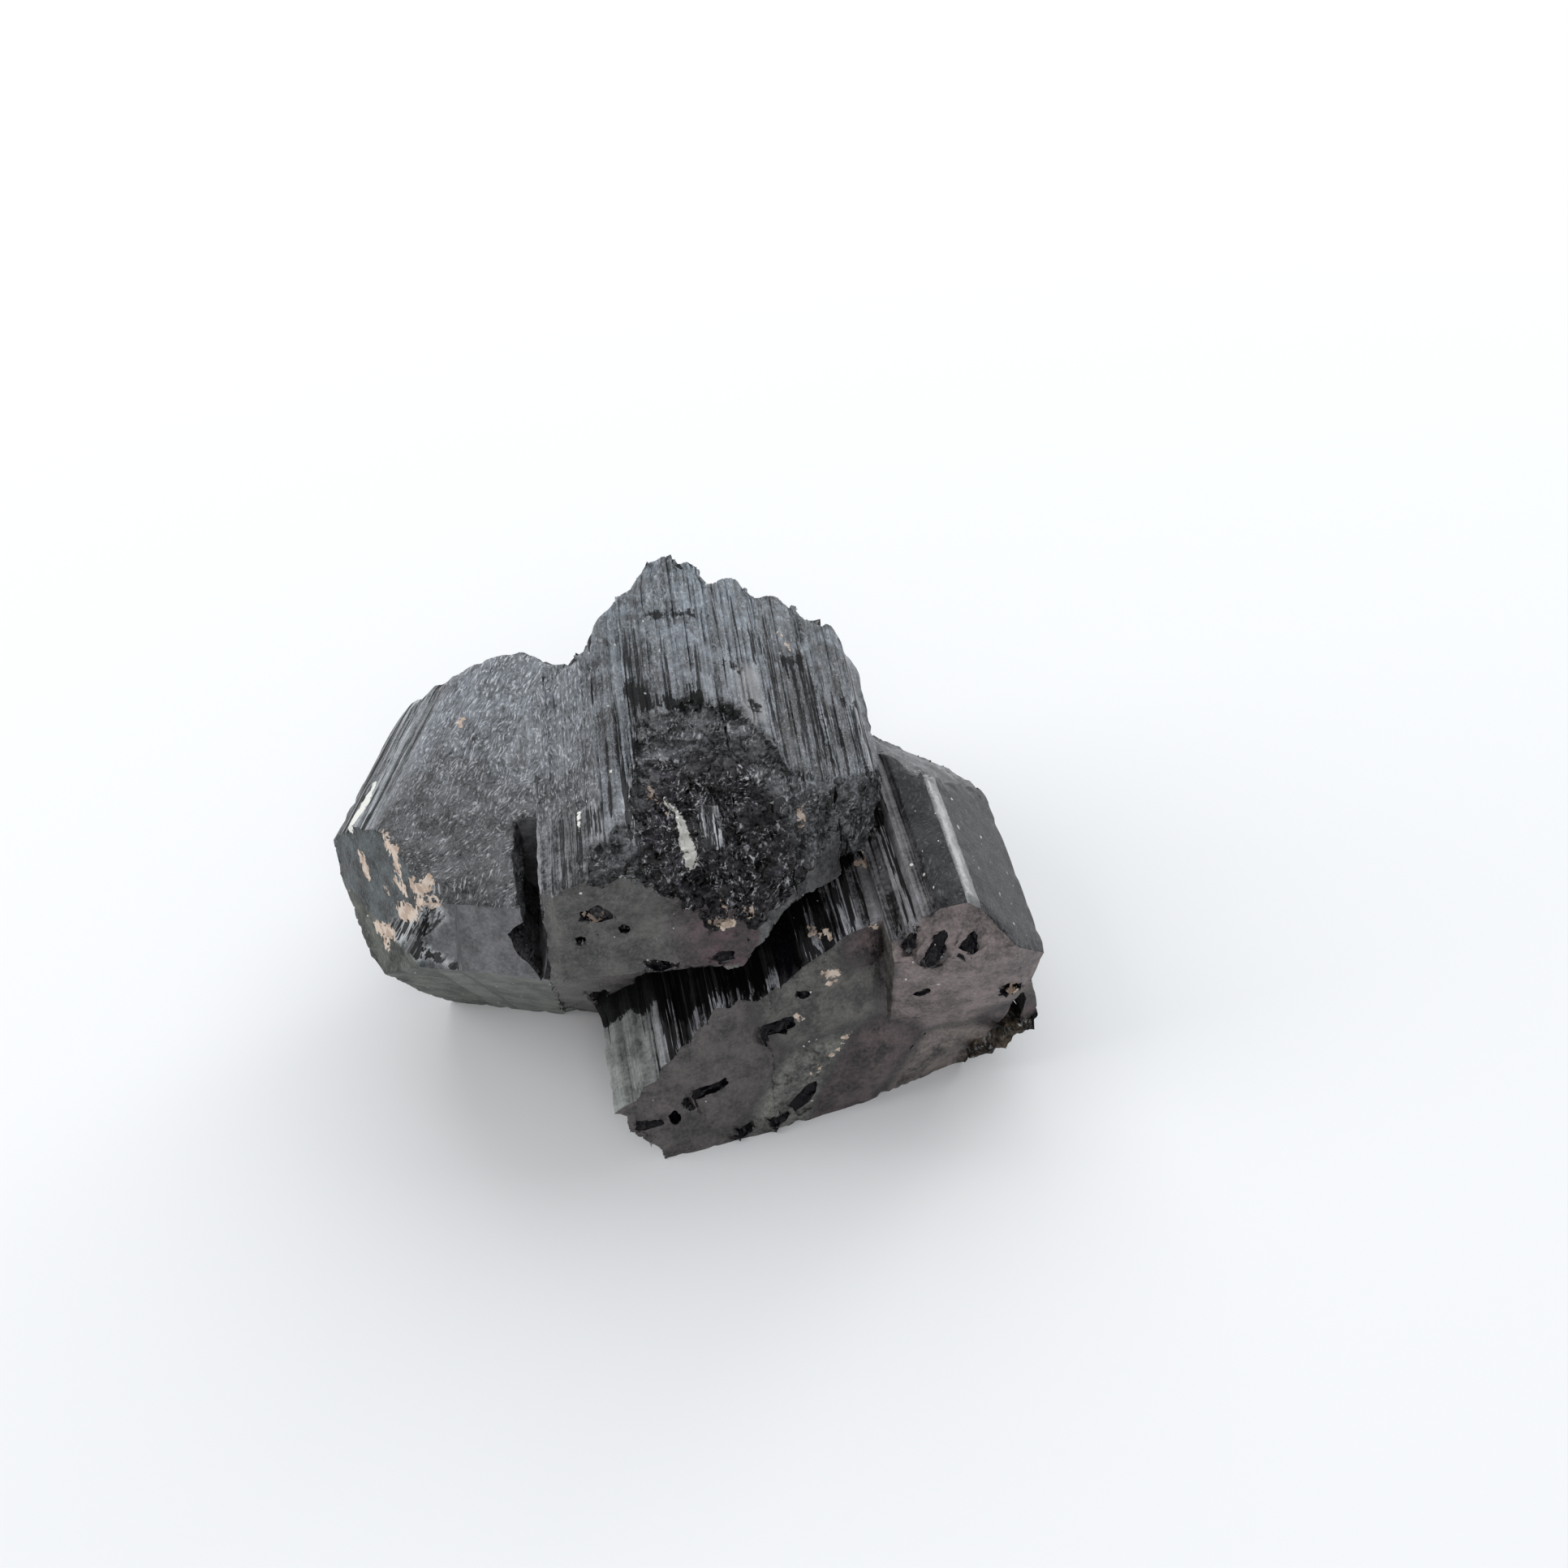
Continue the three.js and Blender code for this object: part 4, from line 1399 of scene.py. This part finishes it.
class StoneGraph(Graph):
    """The stone's nodes. Its patterns follow the attributes that the dresser writes."""

    # How many of a pattern's forms there are in a millimetre: twice across the crystal, and along.
    HAIRS = (6.2, 6.2, 0.7)
    CURLS = (5.6, 5.6, 0.75)
    CRUMBS = (3.0, 3.0, 1.4)
    COLUMNS = (0.6, 0.6, 0.03)
    BARS = (1.3, 1.3, 0.04)
    STRIAE = (4.2, 4.2, 0.05)
    LEDGE_SHADE = (0.4, 1.0, 1.0)
    FLAKES_AND_GLINTS = (1.6, 1.6, 0.96)
    CHIPS = 2.6
    SLANT = (0, 0.35, 0)  # how far the curls are turned from the crystal's axis, in radians

    def __init__(self, material: bpy.types.Material) -> None:
        """Reads the attributes and lays out what several parts of the finish share.

        Args:
            material: the material, whose nodes are made anew.
        """
        super().__init__(material)
        self.grain = self.attribute("grain")
        self.tone = self.attribute("tone", "Color")
        self.rough, self.hairy, self.mottled = self.attribute("touch").parts()
        self.flaky, self.striped, self.curly = self.attribute("marks").parts()
        self.broken, self.to_pale, self.to_white = self.attribute("scraps").parts()
        # how far off painted shade is, in crumbled hollows and under the overhang
        self.to_painted_shade = self.number("Attribute", {}, "Fac", attribute_name="hollow")

        self.waved = self.grain.bent(0.55, 1.1)
        slanted = self.triple("Mapping", {"Vector": self.grain, "Rotation": self.SLANT})
        self.swirled = self.grain.bent(0.2, 4.5, slanted)
        self.grit = self.grain.noise(2.6, 3.0, 0.7).ramp(0.32, 0.68)
        patches = self.grain.noise(1.1, 2.0, 0.6)
        self.lines = self.waved.noise(self.HAIRS, 1.0)
        self.hairs = self.lines.ramp(0.55, 0.64) * patches.ramp(0.34, 0.54)
        self.scrawl = self.swirled.noise(self.CURLS, 1.0)
        self.curls = self.scrawl.ramp(0.56, 0.68) * patches.ramp(0.38, 0.56)
        self.wide_bars = self.grain.noise(self.BARS, 3.0, 0.75)
        self.bars = (self.wide_bars - self.striped * 0.27).ramp(0.235, 0.26)
        self.striae = self.grain.noise(self.STRIAE, 2.0, 0.6).ramp(0.38, 0.62)
        self.ragged = (self.grain.noise(1.5, 4.0, 0.65) - 0.5) * 2.2
        _, self.chip_luck, self.chip_middle = self.waved.cells(self.CHIPS)

    def light(self) -> Number:
        """How light the body is: clouds, grit, furrows, columns, bars, and dark bands of painted
        shade between the broken band's steps.

        Returns:
            A factor for its tone.
        """
        clouds = self.grain.noise(0.42, 4.0, 0.6).ramp(0.36, 0.64)
        columns = self.grain.noise(self.COLUMNS, 1.0).ramp(0.4, 0.6)
        # Painted shade: dark bands across broken surfaces, where the band steps down.
        ledge_shade = self.grain.noise(self.LEDGE_SHADE, 3.0, 0.65).ramp(0.52, 0.42)
        light = (
            1.0
            + (clouds - 0.5) * 1.2 * self.mottled
            + (self.grit - 0.5) * 1.1 * self.mottled
            - self.lines.ramp(0.45, 0.36) * self.hairy * 0.6
            - self.scrawl.ramp(0.44, 0.36) * self.curly * 0.6
            + (columns - 0.5) * 1.3 * self.striped
            + (self.striae - 0.5) * 0.9 * self.striped
        )
        return light.most(0.05) * (self.bars * 0.93 + 0.07) * (1.0 - ledge_shade * self.broken * 0.93)

    def frost(self) -> Triple:
        """The pale strokes on the body: hairs, curls, and crumbs that are partly painted glints,
        slightly blue.

        Returns:
            The colour that they add.
        """
        # On broken surfaces the crumbs are pale specks that also stand in for painted glints.
        crumbs = self.swirled.noise(self.CRUMBS, 3.0, 0.7).ramp(0.53, 0.63)
        clumps = self.grain.noise(0.5, 3.0, 0.65).ramp(0.42, 0.6)
        strokes = (
            self.hairs * self.hairy * self.bars * 0.3
            + self.curls * self.curly * 0.28
            + crumbs * clumps * self.broken * self.broken * 0.5
        )
        return self.triple("CombineXYZ", {0: strokes, 1: strokes, 2: strokes * 1.04})

    def hollow(self) -> Number:
        """Where shade is painted, in crumbled hollows and under the overhang, with a toothed edge
        along bars.
        """
        teeth = (self.wide_bars - 0.5) * 10.0 * self.striped * self.striped
        return (self.to_painted_shade + self.ragged + teeth).ramp(0.15, -0.15)

    def flakes_and_glints(self) -> Number:
        """Where pale flecks and painted glints lie, one in some of the cells.

        Returns:
            Their share of a place, 0 to 1.
        """
        distance, color, _ = (self.waved * self.FLAKES_AND_GLINTS).cells(1.0)
        luck, size, _ = color.parts()
        chosen = (luck + self.flaky * 0.5).ramp(0.99, 1.0)
        outside = distance - size * size * size * 0.14 + (self.grit - 0.5) * 0.1
        return outside.ramp(0.13, 0.08) * chosen

    def rock(self) -> tuple[Number, Number]:
        """Where pale rock remains, broken off along chips, and where the palest does.

        Returns:
            The share of a place that each of them covers, 0 to 1.
        """
        uneven = self.ragged * 0.35 + (self.chip_luck.parts()[2] - 0.5) * 0.5
        pale = (self.to_pale + uneven).ramp(0.05, -0.05)
        white = (self.to_white + uneven * 0.4).ramp(0.04, -0.04)
        return pale, white

    def shine(self, rocky: Number, painted_shade: Number) -> Number:
        """The roughness, greater between bars, where shade is painted and on pale rock."""
        uneven = (self.grit - 0.5) * 0.22 * (self.mottled + 0.2)
        shine = self.rough + uneven + (0.5 - self.bars * 0.5) + rocky * 0.35 + painted_shade * 0.6
        return self.number("Clamp", {0: shine, 1: 0.08, 2: 1.0})

    def facets(self) -> Number:
        """The height of small facets, each tilted its own way."""
        return ((self.waved - self.chip_middle) * self.CHIPS).dot(self.chip_luck - (0.5,) * 3)

    def height(self, relief: Relief) -> Number:
        """How high the surface's fine relief stands.

        Args:
            relief: how high each pattern stands.

        Returns:
            A height in millimetres.
        """
        return (
            self.lines * self.hairy * relief.hairs
            + self.grit * (self.mottled + 0.3) * relief.grit
            + self.curls * self.curly * relief.curls
            + (self.wide_bars + self.striae * 0.4) * self.striped * relief.bars
            + self.facets() * self.broken * relief.facets
        )


@dataclass(frozen=True)
class TourmalineFinish:
    """The black, glassy stone with its frost, hairs, bars, pale flecks with painted glints, painted
    shade and remains of pale rock.

    Attributes:
        name: the material's name.
        specular: how strongly it shines; hollows trap light.
        ior: its refractive index.
        cream, tan, white, flake: the colours of what lies on it; the pale flecks' colour also paints
            glints.
        relief: the heights of its patterns.
    """

    name: str
    specular: float
    ior: float = 1.63
    cream: tuple[float, ...] = (0.66, 0.55, 0.46, 1)
    tan: tuple[float, ...] = (0.48, 0.36, 0.28, 1)
    white: tuple[float, ...] = (0.78, 0.77, 0.72, 1)
    flake_and_glint: tuple[float, ...] = (0.6, 0.61, 0.57, 1)
    relief: Relief = Relief()

    def build(self) -> bpy.types.Material:
        """Makes the material.

        Returns:
            The material.
        """
        material = bpy.data.materials.new(self.name)
        stone = StoneGraph(material)
        painted_shade = stone.hollow()
        pale, white = stone.rock()
        # Where shade is painted, in crumbled hollows and under the overhang, the body's colour is
        # darkened and its shine roughened.
        body = (stone.tone * stone.light() + stone.frost()) * (1.0 - painted_shade * 0.93)
        rock = stone.mix(stone.grain.noise(1.1, 3.0).ramp(0.42, 0.56), self.tan, self.cream)
        # pale flecks, which also paint glints, are mixed into the body's colour
        color = stone.mix(pale, stone.mix(stone.flakes_and_glints(), body, self.flake_and_glint), rock)
        relief = {"Height": stone.height(self.relief), "Distance": MM, "Strength": 1.0}
        shader = stone.node("BsdfPrincipled", {
            "Base Color": stone.mix(white, color, self.white),
            "Roughness": stone.shine(pale.most(white), painted_shade),
            "IOR": self.ior,
            "Specular IOR Level": self.specular,
            "Normal": stone.triple("Bump", relief),
        })
        surface = Output(stone, shader.outputs[0])
        stone.node("OutputMaterial", {"Surface": surface}).is_active_output = True
        return material


class Shine(Enum):
    """The stone's materials, by how much light each throws back."""

    BRIGHT = TourmalineFinish("black_tourmaline", 0.38)
    CRUMBLED = TourmalineFinish("crumbled_tourmaline", 0.2)
    HOLLOW = TourmalineFinish("tourmaline_hollow", 0.12)
    DULL = TourmalineFinish("dull_tourmaline", 0.08)

    @classmethod
    def of(cls, crystal: Crystal, surface: Surface, centre: Vector) -> "Shine":
        """Chooses the material of a face.

        Args:
            crystal: the crystal it is on.
            surface: its kind.
            centre: its middle, in the part's frame.

        Returns:
            The material.
        """
        u = (crystal.frame @ centre).x
        on_ridge = RIDGE_SIDES[0] < u < RIDGE_SIDES[1]
        if crystal is Crystal.LEFT and surface is Surface.END and u < GLOSSY_EDGE:
            return cls.DULL
        if crystal is Crystal.LOWER and surface in (Surface.TOP, Surface.SIDE) and not on_ridge:
            return cls.DULL
        return {Surface.BAND: cls.CRUMBLED, Surface.HOLLOW: cls.HOLLOW}.get(surface, cls.BRIGHT)


# ---- The specimen ----


@dataclass(frozen=True)
class Cluster:
    """The intergrown crystals as one piece."""

    name: str = "tourmaline_crystals"
    crisp: float = 28.0  # degrees between faces that meet in a sharp edge
    sorter: Sorter = Sorter()
    cutter: Cutter = Cutter(Sorter())
    wear: Wear = Wear()
    dresser: Dresser = Dresser()

    def copy_of_solid(self) -> bmesh.types.BMesh:
        """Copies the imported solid, with its doubles merged and its flats whole.

        Returns:
            A mesh of it, in millimetres.
        """
        form = bmesh.new()
        form.from_mesh(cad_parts[NODE].data)
        bmesh.ops.scale(form, vec=Vector((1, 1, 1)) / MM, verts=form.verts)
        bmesh.ops.remove_doubles(form, verts=form.verts, dist=self.sorter.weld)
        bmesh.ops.dissolve_limit(
            form, angle_limit=math.radians(self.sorter.flat), verts=form.verts,
            edges=form.edges, use_dissolve_boundaries=False,
        )
        form.normal_update()
        return form

    def carve(self) -> bmesh.types.BMesh:
        """Carves the piece out of the solid.

        Returns:
            Its labelled mesh, in millimetres.
        """
        coarse = self.copy_of_solid()
        self.sorter.label(coarse)
        form = self.cutter.cut_all(coarse)
        coarse.free()
        bmesh.ops.triangulate(form, faces=form.faces)
        form.normal_update()
        self.wear.apply(form)
        return form

    def paint(self, mesh: bpy.types.Mesh) -> None:
        """Gives each face its material.

        Args:
            mesh: the piece's labelled mesh, in metres.
        """
        shines = list(Shine)
        for shine in shines:
            mesh.materials.append(shine.value.build())
        for polygon, (crystal, surface) in zip(mesh.polygons, labels_of(mesh)):
            shine = Shine.of(crystal, surface, polygon.center / MM)
            polygon.material_index = shines.index(shine)

    def build(self) -> bpy.types.Object:
        """Makes the piece.

        Returns:
            Its object, in place, in metres.
        """
        form = self.carve()
        bmesh.ops.scale(form, vec=Vector((MM, MM, MM)), verts=form.verts)
        mesh = bpy.data.meshes.new(self.name)
        form.to_mesh(mesh)
        form.free()
        self.dresser.apply(mesh)
        mesh.shade_smooth()
        mesh.set_sharp_from_angle(angle=math.radians(self.crisp))
        self.paint(mesh)
        log.info("%s: %d triangles", self.name, len(mesh.polygons))
        return show(self.name, mesh)


# ---- The studio ----


@dataclass(frozen=True)
class Softbox:
    """A soft lamp: where it stands, what it faces, its size in metres and its light."""

    name: str
    place: tuple[float, float, float]
    target: tuple[float, float, float]
    size: tuple[float, float]
    watts: float
    color: tuple[float, float, float]

    def build(self) -> bpy.types.Object:
        """Makes the lamp.

        Returns:
            Its object.
        """
        lamp = bpy.data.lights.new(self.name, "AREA")
        lamp.shape = "RECTANGLE"
        lamp.size, lamp.size_y = self.size
        lamp.energy = self.watts
        lamp.color = self.color
        light = show(self.name, lamp)
        aim(light, Vector(self.place), Vector(self.target))
        return light


@dataclass(frozen=True)
class Studio:
    """The pale floor, the soft lamps, the surrounding light and the camera."""

    floor_size: float = 4.0
    floor_rough: float = 0.9
    floor_color: tuple[float, float, float, float] = (0.86, 0.86, 0.86, 1)
    sky_color: tuple[float, float, float, float] = (0.92, 0.95, 1.0, 1)
    sky_strength: float = 0.46
    camera_place: tuple[float, float, float] = (8.86, -115.86, 147.98)  # millimetres
    camera_aim: tuple[float, float, float] = (8.86, 5.06, 27.06)
    lens: float = 41.0
    sensor: float = 36.0
    lamps: tuple[Softbox, ...] = (
        Softbox("back_softbox", (0.1, 1.0, 1.05), (0, 0, 0.02), (2.2, 1.3), 17, (0.95, 0.98, 1)),
        Softbox("left_softbox", (-0.9, -0.1, 0.6), (0, 0, 0.02), (0.5, 0.9), 4, (1, 1, 1)),
        Softbox("right_softbox", (0.6, 0.78, 0.3), (0.03, 0, 0.02), (0.26, 0.26), 1.4, (1, 1, 1)),
        Softbox("front_softbox", (0.2, -1.3, 1.5), (0, 0, 0.02), (1.2, 1.0), 6, (1, 1, 1)),
    )

    def build_floor(self) -> bpy.types.Object:
        """Makes the floor.

        Returns:
            Its object.
        """
        form = bmesh.new()
        bmesh.ops.create_grid(form, x_segments=1, y_segments=1, size=self.floor_size / 2)
        mesh = bpy.data.meshes.new("floor")
        form.to_mesh(mesh)
        form.free()
        material = bpy.data.materials.new("pale_floor")
        material.use_nodes = True
        shader = material.node_tree.nodes["Principled BSDF"]
        shader.inputs["Base Color"].default_value = self.floor_color
        shader.inputs["Roughness"].default_value = self.floor_rough
        mesh.materials.append(material)
        floor = show("floor", mesh)
        return floor

    def build_sky(self) -> None:
        """Sets the light that comes from all around."""
        world = bpy.data.worlds.new("surround")
        world.use_nodes = True
        background = world.node_tree.nodes["Background"]
        background.inputs["Color"].default_value = self.sky_color
        background.inputs["Strength"].default_value = self.sky_strength
        bpy.context.scene.world = world

    def build_camera(self) -> bpy.types.Object:
        """Makes the camera.

        Returns:
            Its object.
        """
        lens = bpy.data.cameras.new("camera")
        lens.lens = self.lens
        lens.sensor_width = self.sensor
        lens.clip_start = 0.01
        camera = show("camera", lens)
        aim(camera, Vector(self.camera_place) * MM, Vector(self.camera_aim) * MM)
        bpy.context.scene.camera = camera
        return camera

    def build(self) -> None:
        """Sets the whole studio up."""
        bpy.context.scene.view_settings.view_transform = "Standard"
        self.build_sky()
        self.build_floor()
        self.build_camera()
        for lamp in self.lamps:
            lamp.build()


# ---- Making it all ----


def main() -> None:
    """Builds the studio and the specimen."""
    logging.basicConfig(level=logging.INFO, format="%(message)s")
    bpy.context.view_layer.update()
    Studio().build()
    cluster = Cluster().build()
    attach(cluster, BODY)
    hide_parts(NODE)


if __name__ == "__main__":
    main()
